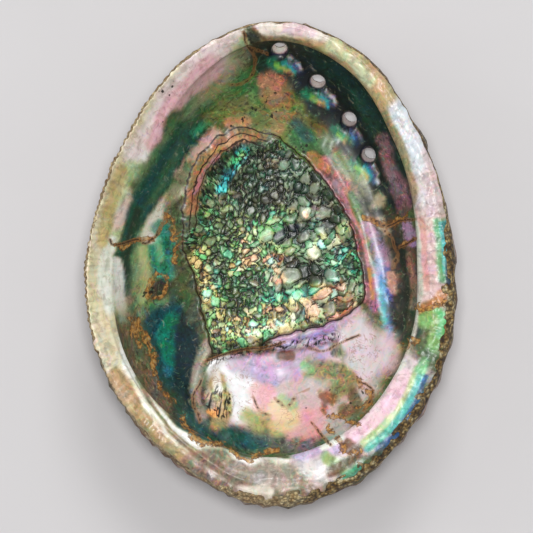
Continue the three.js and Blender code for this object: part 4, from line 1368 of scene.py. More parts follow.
    @staticmethod
    def speck_distance(x: Array, y: Array) -> Array:
        """Distance to the nearest black speck, less for a large one; they gather in the listed clusters."""
        nearest = np.full(x.shape, FAR)
        for number, (cx, cy, reach, count) in enumerate(SPECKS):
            turn = 2.4 * np.arange(count)
            away = reach * np.sqrt((np.arange(count) + 0.5) / count)
            wobble = Grain(number).corner(np.arange(count), np.arange(count) * 3)
            across = cx + away * np.cos(turn + wobble)
            along = cy + 0.7 * away * np.sin(turn + 3 * wobble)
            for px, py, size in zip(across, along, wobble):
                nearest = np.minimum(nearest, np.hypot(x - px, y - py) + 0.35 - 0.45 * size)
        return nearest

    def build_lip(self, edge: tuple[Array, Array]) -> Array:
        """The crusted lip: rings that round over from the edge of the nacre to the outline, with a rough,
        scalloped outer edge.

        Args:
            edge: the nacre's edge: its point numbers and angles.

        Returns:
            The point numbers of the outermost ring.
        """
        numbers, angle = edge
        start = np.vstack(self.points)[numbers]
        end = FORM.point(Face.BACK, angle, np.full(angle.shape, LIP_END))
        out = np.column_stack([np.cos(angle), np.sin(angle), np.zeros_like(angle)])
        degrees = np.mod(np.degrees(angle), 360.0)
        crusted = crust_width(degrees)
        arc = angle * MEAN_RADIUS
        grain = Grain(71)
        teeth = 0.75 * np.abs(np.sin(np.radians(degrees) * 86 + 2.0 * grain.value(arc / 9, arc * 0)))
        teeth = teeth * smooth(95, 115, degrees) * smooth(235, 215, degrees)
        ragged = 0.5 * grain.layers(arc, arc * 0 + 3, 3.2, 3) + teeth
        previous = numbers
        lip_paint = np.vstack(self.marks["paint"])[numbers]
        for k in range(1, LIP_RINGS + 1):
            t = k / LIP_RINGS
            ring = start + (end - start) * t
            bulge = math.sin(math.pi * t)
            inset = np.hypot(end[:, 0], end[:, 1]) - np.hypot(ring[:, 0], ring[:, 1])
            rough = grain.layers(ring[:, 0] * 1.0, ring[:, 1] + 7 * t, 1.9, 3)
            ring = ring + out * (0.35 * bulge + ragged * t * (1.2 - t) * 1.6)[:, None]
            ring[:, 2] += 0.45 * bulge + rough * 0.42 * bulge * np.minimum(crusted, 1.5)
            reach = crusted * (0.95 + 0.3 * grain.layers(ring[:, 0], ring[:, 1], 3.0, 2))
            now = self.add(
                ring,
                paint=lip_paint,
                crust=smooth(0.3, -0.3, inset - reach),
                band=np.ones(len(ring)),
                around=round_rim(angle, np.full(len(ring), -t)),
            )
            self.quads.append(strip(previous, now))
            previous = now
        return previous

    def build_back(self) -> tuple[Array, list[Array]]:
        """The back, from the worn patch it rests on to the outline.

        Returns:
            The outermost ring's point numbers, and the edge of each tube's foot.
        """
        k = self.back_core
        rings = np.interp(np.arange(k + BACK_RINGS + 1), [0, k, k + BACK_RINGS], BACK_PLACES)
        sheet = Sheet(k, rings)
        opened = [sheet.open_hole(Face.BACK, hole, self.base) for hole in HOLES]
        quads = sheet.faces([o[0] for o in opened])[:, ::-1]
        angle, place = sheet.angle, sheet.place
        base = FORM.point(Face.BACK, angle, place)
        x, y = base[:, 0], base[:, 1]
        points = base + self.normals(base, quads) * RELIEF.back(x, y, place)[:, None]
        points[:, 2] = np.maximum(points[:, 2], 0)
        numbers = self.add(
            points,
            paint=BackColour().paint(x, y, place),
            crust=np.full(len(x), 2.0),
            around=round_rim(angle, BACK_RUN * (1 - place)),
        )
        self.quads.append(numbers[quads])
        return numbers[sheet.loops[-1]], [numbers[o[1]] for o in opened]

    def build_tube(self, hole: Hole, inner: Array, outer: Array) -> None:
        """The tube of a hole: rings down the bore from its edge inside, over the tube's end, and up its
        outside to its foot. Each ring is a circle round the leaning axis.

        Args:
            hole: the hole.
            inner: point numbers round its edge inside, anticlockwise from above.
            outer: point numbers round the tube's foot on the back, anticlockwise from above.
        """
        points = np.vstack(self.points)
        out = np.array([hole.x, hole.y]) / math.hypot(hole.x, hole.y)
        axis = np.array([out[0] * hole.lean, out[1] * hole.lean, -1.0])
        axis /= np.linalg.norm(axis)
        middle = points[inner].mean(axis=0)
        depth = float((points[outer].mean(axis=0) - middle) @ axis) + self.tube_height
        slant = (points[inner] - middle) @ axis

        def round_axis(ring: Array, centre: Array) -> Array:
            """Unit ways from the axis to each point of a ring."""
            flat = ring - centre
            flat = flat - np.outer(flat @ axis, axis)
            return flat / np.linalg.norm(flat, axis=1, keepdims=True)

        ways = round_axis(points[inner], middle)
        profile = (
            (0.22, self.mouth * 0.86, 0), (0.42, self.bore * 1.05, 0), (0.62, self.bore, 0),
            (0.84, self.bore, 0), (0.97, self.bore * 1.06, 1), (1.02, self.bore * 1.3, 1),
            (0.985, self.bore * 1.55, 2), (0.88, self.bore * 1.72, 2), (0.74, self.bore * 1.95, 2),
        )
        previous = inner
        grain = Grain(81)
        for along, radius, kind in profile:
            rough = 1 + 0.04 * grain.value(ways[:, 0] * 2 + hole.x, ways[:, 1] * 2 + along * 5)
            shift = depth * along + slant * max(0.0, 1 - along / 0.5) ** 2
            ring = middle + axis * shift[:, None] + ways * (radius * rough)[:, None]
            n = len(ring)
            # The bore's top ring is dark blue-grey painted shade just below the mouth; deeper down the pale
            # bore colour is partly the bore's nacre, partly painted light standing in for the bright floor
            # seen through the hole.
            colour = TUBE_COLOURS[kind] if along > 0.3 else (60, 64, 92)
            now = self.add(
                ring,
                paint=np.tile(to_linear(colour), (n, 1)),
                crust=np.full(n, float(kind)),
                around=ring,
            )
            self.quads.append(np.column_stack([previous, np.roll(previous, -1), np.roll(now, -1), now]))
            previous = now
        foot_ways = points[outer] - middle
        side = ways[0]
        other = np.cross(side, axis)
        inner_turn = np.unwrap(np.arctan2(ways @ other, ways @ side))
        outer_turn = np.arctan2(foot_ways @ other, foot_ways @ side)
        first = int(np.argmin(np.abs(outer_turn)))
        outer_turn = np.unwrap(np.roll(outer_turn, -first))
        self.triangles.append(zipper(previous, np.roll(outer, -first), inner_turn, outer_turn))

    def to_object(self, name: str) -> bpy.types.Object:
        """Puts the points, faces and marks into one mesh, in metres, leaving out points that no face uses.

        Args:
            name: the object's name.

        Returns:
            The object.
        """
        points = np.vstack(self.points)
        quads, triangles = np.vstack(self.quads), np.vstack(self.triangles)
        used = np.zeros(len(points), dtype=bool)
        used[quads.ravel()] = True
        used[triangles.ravel()] = True
        number = np.cumsum(used) - 1
        mesh = bpy.data.meshes.new(name)
        mesh.vertices.add(int(used.sum()))
        mesh.vertices.foreach_set("co", (points[used] * MM).astype(np.float32).ravel())
        corners = np.concatenate([number[quads].ravel(), number[triangles].ravel()])
        sizes = np.concatenate([np.full(len(quads), 4), np.full(len(triangles), 3)])
        mesh.loops.add(len(corners))
        mesh.loops.foreach_set("vertex_index", corners.astype(np.int32))
        mesh.polygons.add(len(sizes))
        mesh.polygons.foreach_set("loop_start", (np.cumsum(sizes) - sizes).astype(np.int32))
        mesh.polygons.foreach_set("use_smooth", np.ones(len(sizes), dtype=bool))
        kind = np.concatenate(self.marks["crust"])
        outside = np.concatenate([kind[quads].max(axis=1), kind[triangles].max(axis=1)]) > OUTSIDE_CRUST
        mesh.polygons.foreach_set("material_index", outside.astype(np.int32))
        mesh.update(calc_edges=True)
        mesh.validate()
        for mark, (width, _) in MARKS.items():
            values = np.concatenate(self.marks[mark])[used]
            if mark == "paint":
                layer = mesh.attributes.new(mark, "FLOAT_COLOR", "POINT")
                rows = np.column_stack([np.clip(values, 0, 1), np.ones(len(values))])
                layer.data.foreach_set("color", rows.astype(np.float32).ravel())
            elif width == 3:
                layer = mesh.attributes.new(mark, "FLOAT_VECTOR", "POINT")
                layer.data.foreach_set("vector", values.astype(np.float32).ravel())
            else:
                layer = mesh.attributes.new(mark, "FLOAT", "POINT")
                layer.data.foreach_set("value", values.astype(np.float32))
        piece = bpy.data.objects.new(name, mesh)
        bpy.context.scene.collection.objects.link(piece)
        return piece


# Bore, tube end and outside; the pale bore is partly painted light for the bright floor seen through the
# hole.
TUBE_COLOURS: tuple[Colour, ...] = ((214, 206, 206), (196, 180, 156), (150, 128, 104))


def round_rim(angle: Array, inwards: Array) -> Array:
    """Coordinates that run along the rim and in from it: the place on a circle, and the distance inwards."""
    return np.column_stack([MEAN_RADIUS * np.cos(angle), MEAN_RADIUS * np.sin(angle), inwards])


def crust_width(degrees: Array) -> Array:
    """Width of the crust in millimetres: wide on the back right, from about -100 to 12 degrees, and thin
    elsewhere."""
    turn = np.mod(degrees, 360.0)
    wide = smooth(245, 272, turn) + smooth(14, 8, turn)
    return 0.8 + 2.3 * np.minimum(wide, 1.0)


@dataclass(frozen=True)
class BackColour:
    """Colours of the back: brick and grey-green growth bands, pale coralline patches and a worn tip."""

    brick: Colour = (118, 74, 58)
    grey_green: Colour = (112, 112, 88)
    coral: Colour = (196, 170, 158)
    worn: Colour = (206, 204, 196)

    def paint(self, x: Array, y: Array, place: Array) -> Array:
        """Growth bands around the tip mixed with noise, then the pale patches and the worn places.

        Args:
            x: places across.
            y: places along.
            place: places along the half section.

        Returns:
            Linear colours, one row each.
        """
        reach = np.hypot(x - TIP[0], y - TIP[1])
        bands = 0.5 + 0.5 * np.sin(reach / 4.2 + 2.5 * Grain(91).layers(x, y, 26, 3))
        share = np.clip(0.55 * bands + 0.45 * (0.5 + 0.5 * Grain(92).layers(x, y, 11, 4)), 0, 1)[:, None]
        paint = to_linear(self.brick) * (1 - share) + to_linear(self.grey_green) * share
        patches = smooth(0.28, 0.5, Grain(93).layers(x + 11, y, 17, 4))[:, None]
        paint = paint + (to_linear(self.coral) - paint) * patches * 0.85
        worn = np.maximum(smooth(13, 5, reach), smooth(0.22, 0.12, place))
        worn = np.clip(worn + 0.5 * Grain(94).layers(x, y, 6, 3) * (worn > 0.02), 0, 1)[:, None]
        return paint + (to_linear(self.worn) - paint) * worn * 0.8


# ---- Finishes ----

Socket = bpy.types.NodeSocket
Value = Socket | float


class Tree:
    """A material's node tree, with short ways to add the nodes used here. Its textures work in millimetres of
    object space."""

    def __init__(self, name: str) -> None:
        """Makes the material with a single glossy shader."""
        self.material = bpy.data.materials.new(name)
        self.material.use_nodes = True
        self.nodes = self.material.node_tree.nodes
        self.links = self.material.node_tree.links
        self.nodes.clear()
        self.shader = self.nodes.new("ShaderNodeBsdfPrincipled")
        output = self.nodes.new("ShaderNodeOutputMaterial")
        self.links.new(self.shader.outputs["BSDF"], output.inputs["Surface"])
        place = self.nodes.new("ShaderNodeTexCoord").outputs["Object"]
        self.place = self.vector("SCALE", place, scale=1 / MM)

    def put(self, socket: Socket, value: Value | Colour | tuple[float, ...]) -> None:
        """Links a socket to another, or sets its value."""
        if isinstance(value, bpy.types.NodeSocket):
            self.links.new(value, socket)
        elif isinstance(value, tuple) and socket.type == "RGBA":
            socket.default_value = (*to_linear(value), 1.0)
        else:
            socket.default_value = value

    def vector(
        self, operation: str, a: Value, b: Value | tuple[float, ...] | None = None, scale: Value = 1.0
    ) -> Socket:
        """A vector sum, product, scaling and the like."""
        node = self.nodes.new("ShaderNodeVectorMath")
        node.operation = operation
        self.put(node.inputs[0], a)
        if b is not None:
            self.put(node.inputs[1], b)
        if operation == "SCALE":
            self.put(node.inputs["Scale"], scale)
        return node.outputs[0]

    def math(self, operation: str, a: Value, b: Value = 0.0, clamp: bool = False) -> Socket:
        """A sum, product or other step on one or two values."""
        node = self.nodes.new("ShaderNodeMath")
        node.operation = operation
        node.use_clamp = clamp
        self.put(node.inputs[0], a)
        self.put(node.inputs[1], b)
        return node.outputs[0]

    def times(self, a: Value, b: Value) -> Socket:
        """One value times another."""
        return self.math("MULTIPLY", a, b)

    def plus(self, a: Value, b: Value) -> Socket:
        """One value plus another."""
        return self.math("ADD", a, b)

    def minus(self, a: Value, b: Value) -> Socket:
        """One value less another."""
        return self.math("SUBTRACT", a, b)

    def absolute(self, a: Value) -> Socket:
        """A value without its sign."""
        return self.math("ABSOLUTE", a)

    def read(self, name: str) -> Socket:
        """A point attribute: a colour or vector whole, or a plain value."""
        node = self.nodes.new("ShaderNodeAttribute")
        node.attribute_name = name
        if name == "paint":
            return node.outputs["Color"]
        return node.outputs["Vector" if MARKS[name][0] == 3 else "Fac"]

    def step(
        self, value: Value, low: float, high: float, to_low: float = 0.0, to_high: float = 1.0
    ) -> Socket:
        """A smooth step from to_low at low to to_high at high."""
        node = self.nodes.new("ShaderNodeMapRange")
        node.interpolation_type = "SMOOTHSTEP"
        ends = (low, high, to_low, to_high) if low < high else (high, low, to_high, to_low)
        self.put(node.inputs["Value"], value)
        for k, end in enumerate(ends, start=1):
            node.inputs[k].default_value = end
        return node.outputs["Result"]

    def noise(
        self, size: float, detail: float = 3.0, at: Socket | None = None, bend: float = 0.0,
        rough: float = 0.55,
    ) -> Socket:
        """Smooth noise from 0 to 1 whose largest lumps are about the given size in millimetres."""
        node = self.nodes.new("ShaderNodeTexNoise")
        self.put(node.inputs["Vector"], self.place if at is None else at)
        node.inputs["Scale"].default_value = 1 / size
        node.inputs["Detail"].default_value = detail
        node.inputs["Roughness"].default_value = rough
        node.inputs["Distortion"].default_value = bend
        return node.outputs["Fac"]

    def cells(self, size: float, feature: str = "F1", at: Socket | None = None) -> tuple[Socket, Socket]:
        """Irregular cells: the distance output and each cell's random number."""
        node = self.nodes.new("ShaderNodeTexVoronoi")
        node.feature = feature
        self.put(node.inputs["Vector"], self.place if at is None else at)
        node.inputs["Scale"].default_value = 1 / size
        parts = self.nodes.new("ShaderNodeSeparateColor")
        self.links.new(node.outputs["Color"], parts.inputs["Color"])
        return node.outputs["Distance"], parts.outputs["Red"]

    def mix(self, share: Value, a: Value | Colour, b: Value | Colour, blend: str = "MIX") -> Socket:
        """Two colours mixed, or blended in another way."""
        node = self.nodes.new("ShaderNodeMix")
        node.data_type = "RGBA"
        node.blend_type = blend
        self.put(node.inputs[0], share)
        self.put(node.inputs[6], a)
        self.put(node.inputs[7], b)
        return node.outputs[2]

    def ramp(self, value: Value, stops: tuple[tuple[float, Colour], ...]) -> Socket:
        """A colour for each value, mixed evenly between the stops."""
        node = self.nodes.new("ShaderNodeValToRGB")
        elements = node.color_ramp.elements
        while len(elements) < len(stops):
            elements.new(0.5)
        for element, (at, colour) in zip(elements, stops):
            element.position = at
            element.color = (*to_linear(colour), 1.0)
        self.put(node.inputs["Fac"], value)
        return node.outputs["Color"]

    def axis(self, vector: Socket, name: str) -> Socket:
        """One of a vector's three values."""
        node = self.nodes.new("ShaderNodeSeparateXYZ")
        self.links.new(vector, node.inputs[0])
        return node.outputs[name]

    def grey(self, colour: Socket) -> Socket:
        """How bright a colour is."""
        node = self.nodes.new("ShaderNodeRGBToBW")
        self.links.new(colour, node.inputs["Color"])
        return node.outputs["Val"]

    def levels(self, colour: Socket, share: Value, low: float, high: float) -> Socket:
        """The colour made darker or brighter: times low where share is 0, and times high where it is 1."""
        gain = self.step(share, 0.0, 1.0, low, high)
        return self.vector("SCALE", colour, scale=gain)

    def bump(self, height: Value, distance: float, under: Socket | None = None) -> Socket:
        """A normal from a height in millimetres times the distance."""
        node = self.nodes.new("ShaderNodeBump")
        node.inputs["Distance"].default_value = distance * MM
        self.put(node.inputs["Height"], height)
        if under is not None:
            self.links.new(under, node.inputs["Normal"])
        return node.outputs["Normal"]

    def set(self, **values: Value) -> None:
        """Sets or links the shader's sockets; an underscore stands for a space in a socket's name."""
        for name, value in values.items():
            self.put(self.shader.inputs[name.replace("_", " ")], value)


@dataclass(frozen=True)
class CrustFinish:
    """The rough crust of the lip: brown and gold grains, with dark painted shade in the grooves between them.

    Attributes:
        grain: size of a grain in millimetres.
    """

    grain: float = 1.1

    def layers(self, tree: Tree) -> tuple[Socket, Socket]:
        """The crust's colour and height, for any material that shows it.

        Args:
            tree: the material's tree.

        Returns:
            The colour and the height.
        """
        away, tint = tree.cells(self.grain)
        tone = tree.plus(tree.times(tree.noise(2.2, 4), 0.75), tree.times(tree.noise(7, 2), 0.35))
        grains = tree.ramp(
            tone,
            (
                (0.25, (40, 32, 24)), (0.42, (86, 66, 38)), (0.52, (136, 106, 56)), (0.6, (170, 148, 98)),
                (0.7, (204, 190, 150)), (0.85, (120, 96, 64)),
            ),
        )
        lip_side = tree.step(tree.axis(tree.place, "X"), 20.0, -5.0)
        share = tree.times(lip_side, 0.6)
        pale = tree.ramp(tone, ((0.35, (150, 106, 62)), (0.6, (206, 186, 148))))
        grains = tree.mix(share, grains, pale)
        speckled = tree.levels(grains, tint, 0.75, 1.3)
        # Painted shade in the grooves between the grains, where the crust's bump is lowest; weaker on the lip
        # side.
        dark = tree.times(tree.step(away, 0.35, 0.75), tree.step(lip_side, 0.0, 1.0, 0.8, 0.45))
        colour = tree.mix(dark, speckled, (36, 28, 22))
        height = tree.plus(tree.step(away, 0.75, 0.1), tree.noise(0.5, 2))
        return colour, height


@dataclass(frozen=True)
class NacreFinish:
    """The pearly inside: paint with strokes of painted shade and highlight, play of colour, growth lines,
    scale outlines with painted shade and highlights, painted shade at the holes' mouths, cracks, stains and
    crust.

    Attributes:
        roughness: of clean nacre.
        coat: weight of the clear gloss over it.
    """

    roughness: float = 0.36
    coat: float = 0.14

    def make(self) -> bpy.types.Material:
        """Builds the material from the surface outwards.

        Returns:
            The material.
        """
        tree = Tree("nacre")
        band = tree.read("band")
        around = tree.read("around")
        colour = self.play(tree, tree.read("paint"), band)
        colour = self.lines(tree, colour, band, around)
        colour, scale_height = self.scales(tree, colour)
        # painted shade at the mouths of the holes
        colour = self.hole_gaps(tree, colour)
        colour, worn = self.marks(tree, colour)
        colour = tree.levels(tree.mix(0.32, colour, colour, "OVERLAY"), 1.0, 1.0, 1.12)
        crust_colour, crust_height = CrustFinish().layers(tree)
        crust = tree.step(tree.read("crust"), 0.42, 0.58)
        colour = tree.mix(crust, colour, crust_colour)
        hammer = tree.cells(2.1, "SMOOTH_F1")[0]
        ripple = tree.times(tree.noise(1.6, 3), tree.step(band, 0.0, 1.0, 0.1, 0.3))
        height = tree.plus(ripple, tree.times(hammer, tree.times(band, 0.12)))
        normal = tree.bump(height, 0.35)
        normal = tree.bump(scale_height, 0.3, normal)
        normal = tree.bump(tree.times(crust, crust_height), 0.5, normal)
        rough = tree.step(tree.noise(3.0, 2), 0.2, 0.8, self.roughness - 0.06, self.roughness + 0.1)
        dull = tree.times(tree.math("MAXIMUM", crust, worn), 0.4)
        rough = tree.math("ADD", rough, dull, clamp=True)
        tree.set(
            Base_Color=colour, Roughness=rough, Normal=normal, Coat_Weight=self.coat, Coat_Roughness=0.22,
            IOR=1.5,
        )
        return tree.material

    def play(self, tree: Tree, paint: Socket, band: Socket) -> Socket:
        """The play of colour: two sizes of bent noise choose hues, and a third chooses where they show."""
        hues = (
            (0.3, (60, 140, 160)), (0.38, (70, 170, 130)), (0.45, (150, 170, 100)), (0.52, (200, 160, 106)),
            (0.58, (210, 136, 136)), (0.65, (150, 130, 180)), (0.75, (70, 160, 180)),
        )
        dark = tree.step(tree.grey(paint), 0.75, 0.15)
        broad = tree.ramp(tree.noise(13.0, 3, bend=2.2), hues)
        shifted = tree.vector("ADD", tree.place, (31.0, 7.0, 0.0))
        fine = tree.ramp(tree.noise(4.2, 3, bend=1.8, at=shifted), hues)
        where = tree.step(tree.noise(6.0, 3, at=tree.vector("ADD", tree.place, (3.0, 41.0, 0.0))), 0.38, 0.62)
        on_floor = tree.step(band, 0.0, 1.0, 0.85, 0.6)
        gentle = tree.times(on_floor, tree.step(dark, 0.0, 1.0, 0.45, 0.8))
        colour = tree.mix(tree.times(where, gentle), paint, fine, "SOFT_LIGHT")
        colour = tree.mix(tree.times(gentle, 0.7), colour, broad, "SOFT_LIGHT")
        pearly = tree.times(tree.step(dark, 0.5, 0.0), tree.step(tree.noise(3.0, 4, bend=1.2), 0.42, 0.6))
        colour = tree.mix(tree.times(pearly, 0.3), colour, tree.mix(0.45, fine, (236, 226, 230)))
        hair = tree.absolute(tree.minus(tree.noise(4.0, 4, bend=0.8, rough=0.6), 0.5))
        hair = tree.times(tree.step(hair, 0.024, 0.008), tree.step(tree.noise(9.0, 2), 0.42, 0.5))
        hair = tree.times(hair, tree.times(tree.step(band, 1.0, 0.0), tree.step(dark, 0.5, 0.1)))
        colour = tree.mix(tree.times(hair, 0.5), colour, (140, 104, 78))
        some = tree.times(on_floor, dark)
        glints = tree.times(tree.step(tree.noise(5.0, 6, bend=2.8, rough=0.62), 0.55, 0.68), some)
        colour = tree.mix(tree.times(glints, 0.4), colour, tree.mix(0.5, fine, (160, 196, 170)))
        fine_light = tree.noise(2.2, 5, bend=1.4, rough=0.62)
        low = tree.times(tree.step(fine_light, 0.5, 0.34), some)
        colour = tree.levels(colour, low, 1.05, 0.4)
        return tree.levels(colour, tree.times(tree.step(fine_light, 0.52, 0.68), some), 1.0, 1.7)

    def lines(self, tree: Tree, colour: Socket, band: Socket, around: Socket) -> Socket:
        """Streaks that run out to the rim, and faint growth lines along it."""
        streaks = tree.noise(1.0, 4, at=tree.vector("MULTIPLY", around, (0.7, 0.7, 0.1)), bend=0.4)
        growth = tree.noise(1.0, 3, at=tree.vector("MULTIPLY", around, (0.07, 0.07, 0.6)), bend=0.4)
        some = tree.times(tree.step(streaks, 0.35, 0.65), band)
        colour = tree.levels(colour, some, 0.95, 1.05)
        flow = tree.noise(1.0, 4, at=tree.vector("MULTIPLY", around, (0.09, 0.09, 0.9)), bend=0.5, rough=0.65)
        wall = tree.step(tree.grey(colour), 0.4, 0.12)
        off_band = tree.times(tree.minus(1.0, band), wall)
        colour = tree.levels(colour, tree.step(growth, 0.38, 0.62), 0.96, 1.03)
        colour = tree.levels(colour, tree.times(tree.step(flow, 0.5, 0.34), off_band), 1.0, 0.8)
        colour = tree.levels(colour, tree.times(tree.step(flow, 0.52, 0.68), off_band), 1.0, 1.2)
        clouds = tree.times(tree.step(tree.noise(3.4, 5, bend=0.7, rough=0.65), 0.56, 0.34), band)
        return tree.levels(colour, clouds, 1.04, 0.78)

    def scales(self, tree: Tree, colour: Socket) -> tuple[Socket, Socket]:
        """Dark outlines, partly painted shade in the grooves, painted highlights on the high sides, and ring
        lines on the scar's scales.
        """
        scaled = tree.read("scaled")
        wobble = tree.times(tree.noise(0.8, 3), 0.25)
        edge = tree.minus(tree.read("edge"), wobble)
        # The dark outlines are partly the scales' own dark edges, partly painted shade in the grooves between
        # them.
        outline = tree.times(tree.step(edge, 0.27, 0.02), scaled)
        height = tree.read("height")
        # Pale painted highlight on the high side of each scale.
        pale = tree.times(tree.step(height, 0.55, 1.1), tree.times(scaled, 0.22))
        rings = tree.math("SINE", tree.times(tree.plus(tree.read("centre"), wobble), 12.0))
        ringed = tree.times(tree.step(rings, 0.2, 1.0), tree.times(scaled, 0.5))
        colour = tree.mix(pale, colour, (214, 222, 196))
        colour = tree.levels(colour, ringed, 1.0, 0.5)
        colour = tree.levels(colour, scaled, 1.0, 1.25)
        colour = tree.mix(tree.times(outline, 0.95), colour, (20, 24, 22))
        scar_edge = tree.plus(tree.read("scar"), tree.times(tree.noise(1.5, 3), 0.5))
        turns = tree.math("FRACT", tree.times(scar_edge, 0.5))
        ledge_lines = tree.absolute(tree.minus(turns, 0.12))
        near = tree.times(tree.step(scar_edge, -0.15, 0.1), tree.step(scaled, 1.0, 0.4))
        lined = tree.times(tree.step(ledge_lines, 0.15, 0.06), near)
        colour = tree.mix(tree.times(lined, 0.9), colour, (52, 36, 28))
        relief = tree.times(tree.step(edge, 0.0, 0.5), scaled)
        return colour, relief

    def hole_gaps(self, tree: Tree, colour: Socket) -> Socket:
        """Dark blue crescents of painted shade at the mouths of the holes."""
        gap = tree.plus(tree.read("gap"), tree.times(tree.noise(1.2, 3), 0.8))
        return tree.mix(tree.times(tree.step(gap, 1.5, 0.7), 0.85), colour, (22, 30, 36))

    def marks(self, tree: Tree, colour: Socket) -> tuple[Socket, Socket]:
        """Rusty stains, brown cracks and black specks.

        Returns:
            The colour, and how worn the surface is.
        """
        ragged = tree.plus(tree.read("stain"), tree.times(tree.noise(3.0, 6, bend=0.6, rough=0.65), 6.0))
        stain = tree.step(ragged, 4.1, 3.7)
        border = tree.times(tree.step(ragged, 3.4, 3.8), stain)
        rust = tree.ramp(
            tree.noise(1.3, 4),
            ((0.32, (88, 60, 30)), (0.44, (150, 104, 48)), (0.56, (196, 150, 74)), (0.68, (176, 160, 124))),
        )
        rust = tree.mix(border, rust, (86, 54, 26))
        thick = tree.times(stain, tree.step(tree.noise(1.8, 4), 0.3, 0.55, 0.45, 0.9))
        colour = tree.mix(thick, colour, rust)
        crack_at = tree.plus(tree.read("crack"), tree.times(tree.noise(0.9, 3), 0.6))
        colour = tree.mix(tree.times(tree.step(crack_at, 1.1, 0.7), 0.55), colour, (156, 108, 58))
        crack = tree.step(crack_at, 0.65, 0.45)
        colour = tree.mix(tree.times(crack, 0.85), colour, (62, 38, 22))
        speck_at = tree.plus(tree.read("speck"), tree.times(tree.noise(0.6, 2), 0.5))
        colour = tree.mix(tree.times(tree.step(speck_at, 0.82, 0.6), 0.9), colour, (24, 20, 14))
        return colour, tree.math("MAXIMUM", stain, crack)


@dataclass(frozen=True)
class BackFinish:
    """The dull outside of the shell, and the crust of the lip.

    Attributes:
        roughness: of the dull surface.
    """

    roughness: float = 0.72

    def make(self) -> bpy.types.Material:
        """Builds the material: growth lines, blotches, pale crust patches and pits of painted shade over the
        paint.

        Returns:
            The material.
        """
        tree = Tree("back")
        kind = tree.read("crust")
        colour = tree.read("paint")
        around = tree.read("around")
        growth = tree.noise(1.0, 4, at=tree.vector("MULTIPLY", around, (0.12, 0.12, 0.9)))
        colour = tree.levels(colour, tree.step(growth, 0.35, 0.65), 0.62, 1.2)
        blotch = tree.noise(6.0, 5, bend=0.6)
        colour = tree.levels(colour, tree.step(blotch, 0.35, 0.68), 0.75, 1.25)
        limy = tree.step(tree.noise(3.2, 5, at=tree.vector("ADD", tree.place, (9.0, 2.0, 5.0))), 0.58, 0.68)
        colour = tree.mix(tree.times(limy, 0.6), colour, (206, 196, 180))
        # Small dark dots: painted shade of pits that the surface doesn't have.
        pits = tree.step(tree.cells(1.3)[0], 0.18, 0.05)
        colour = tree.levels(colour, pits, 1.0, 0.45)
        crust_colour, crust_height = CrustFinish().layers(tree)
        on_lip = tree.step(kind, 1.6, 1.4)
        colour = tree.mix(on_lip, colour, crust_colour)
        height = tree.plus(tree.noise(2.2, 5), tree.times(tree.noise(0.6, 3), 0.4))
        normal = tree.bump(height, 0.7)
        normal = tree.bump(tree.times(on_lip, crust_height), 0.5, normal)
        rough = tree.step(tree.noise(2.0, 3), 0.3, 0.7, self.roughness - 0.1, self.roughness + 0.15)
        tree.set(Base_Color=colour, Roughness=rough, Normal=normal, IOR=1.5)
        return tree.material


# ---- Studio ----


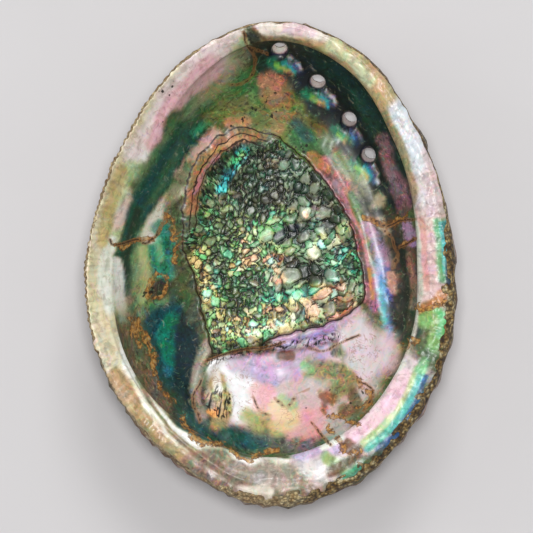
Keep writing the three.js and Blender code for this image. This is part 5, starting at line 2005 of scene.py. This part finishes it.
@dataclass
class Studio:
    """A plain pale floor, soft light and a camera that looks straight down.

    Attributes:
        view_width: width of the picture in metres.
        look_at: the picture's middle in plan, in metres.
        floor_half: half the floor's side in metres.
        camera_height: height of the camera in metres.
        rim_height: the height at which the picture is as wide as view_width.
        view_end: how far the camera sees.
        world_light: strength of the even light from all round.
    """

    view_width: float = 0.1751
    look_at: tuple[float, float] = (-0.00099, -0.00131)
    floor_half: float = 12.0
    camera_height: float = 2.72
    rim_height: float = 0.045
    view_end: float = 30.0
    world_light: float = 0.26

    def build(self) -> None:
        """Adds the floor, the lights, the world's light and the camera."""
        floor = self.build_floor()
        self.add_light("front_panel", (0.2, 1.7, 2.1), size=0.9, power=22.0)
        self.add_light("overhead", (0.0, 0.12, 2.8), size=0.45, power=40.0)
        self.add_light("left_panel", (-1.9, 0.3, 1.4), size=1.2, power=3.0)
        world = bpy.data.worlds.new("studio")
        world.use_nodes = True
        world.node_tree.nodes["Background"].inputs["Color"].default_value = (1.0, 1.0, 1.0, 1.0)
        world.node_tree.nodes["Background"].inputs["Strength"].default_value = self.world_light
        bpy.context.scene.world = world
        camera = bpy.data.cameras.new("camera")
        camera.lens = camera.sensor_width * (self.camera_height - self.rim_height) / self.view_width
        camera.clip_end = self.view_end
        viewer = bpy.data.objects.new("camera", camera)
        viewer.location = (*self.look_at, self.camera_height)
        bpy.context.scene.collection.objects.link(viewer)
        bpy.context.scene.camera = viewer
        bpy.context.scene.view_settings.view_transform = "Standard"

    def build_floor(self) -> bpy.types.Object:
        """A flat pale floor at height 0 with a trace of mottling.

        Returns:
            The floor.
        """
        mesh = bpy.data.meshes.new("floor")
        h = self.floor_half
        mesh.from_pydata([(-h, -h, 0), (h, -h, 0), (h, h, 0), (-h, h, 0)], [], [(0, 1, 2, 3)])
        mesh.validate()
        floor = bpy.data.objects.new("floor", mesh)
        bpy.context.scene.collection.objects.link(floor)
        tree = Tree("floor")
        colour = tree.mix(tree.noise(40, 2), (214, 212, 213), (218, 216, 217))
        tree.set(Base_Color=colour, Roughness=0.9, Specular_IOR_Level=0.1)
        mesh.materials.append(tree.material)
        return floor

    @staticmethod
    def add_light(name: str, at: tuple[float, float, float], size: float, power: float) -> None:
        """A square soft light that faces the shell.

        Args:
            name: its name.
            at: where it is, in metres.
            size: its side in metres.
            power: its power in watts.
        """
        light = bpy.data.lights.new(name, "AREA")
        light.shape = "SQUARE"
        light.size = size
        light.energy = power
        lamp = bpy.data.objects.new(name, light)
        lamp.location = at
        lamp.rotation_euler = (Vector((0.0, 0.0, 0.02)) - Vector(at)).to_track_quat("-Z", "Y").to_euler()
        bpy.context.scene.collection.objects.link(lamp)


@dataclass
class Abalone:
    """The shell: its mesh and its finishes.

    Attributes:
        mesh: builds the surface.
        nacre: finish of the inside.
        back: finish of the outside and lip.
    """

    mesh: ShellMesh = field(default_factory=ShellMesh)
    nacre: NacreFinish = field(default_factory=NacreFinish)
    back: BackFinish = field(default_factory=BackFinish)

    def build(self) -> bpy.types.Object:
        """Returns:
            The shell.
        """
        shell = self.mesh.build()
        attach(shell, "root")
        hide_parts("abalone_shell")
        return shell

    def dress(self, shell: bpy.types.Object) -> None:
        """Puts the two finishes on.

        Args:
            shell: the shell.
        """
        shell.data.materials.append(self.nacre.make())
        shell.data.materials.append(self.back.make())


def main() -> None:
    """Loads the frame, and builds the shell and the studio."""
    logging.basicConfig(level=logging.INFO, format="%(name)s: %(message)s")
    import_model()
    abalone = Abalone()
    shell = abalone.build()
    abalone.dress(shell)
    LOG.info("shell has %d points and %d faces", len(shell.data.vertices), len(shell.data.polygons))
    Studio().build()


if __name__ == "__main__":
    main()
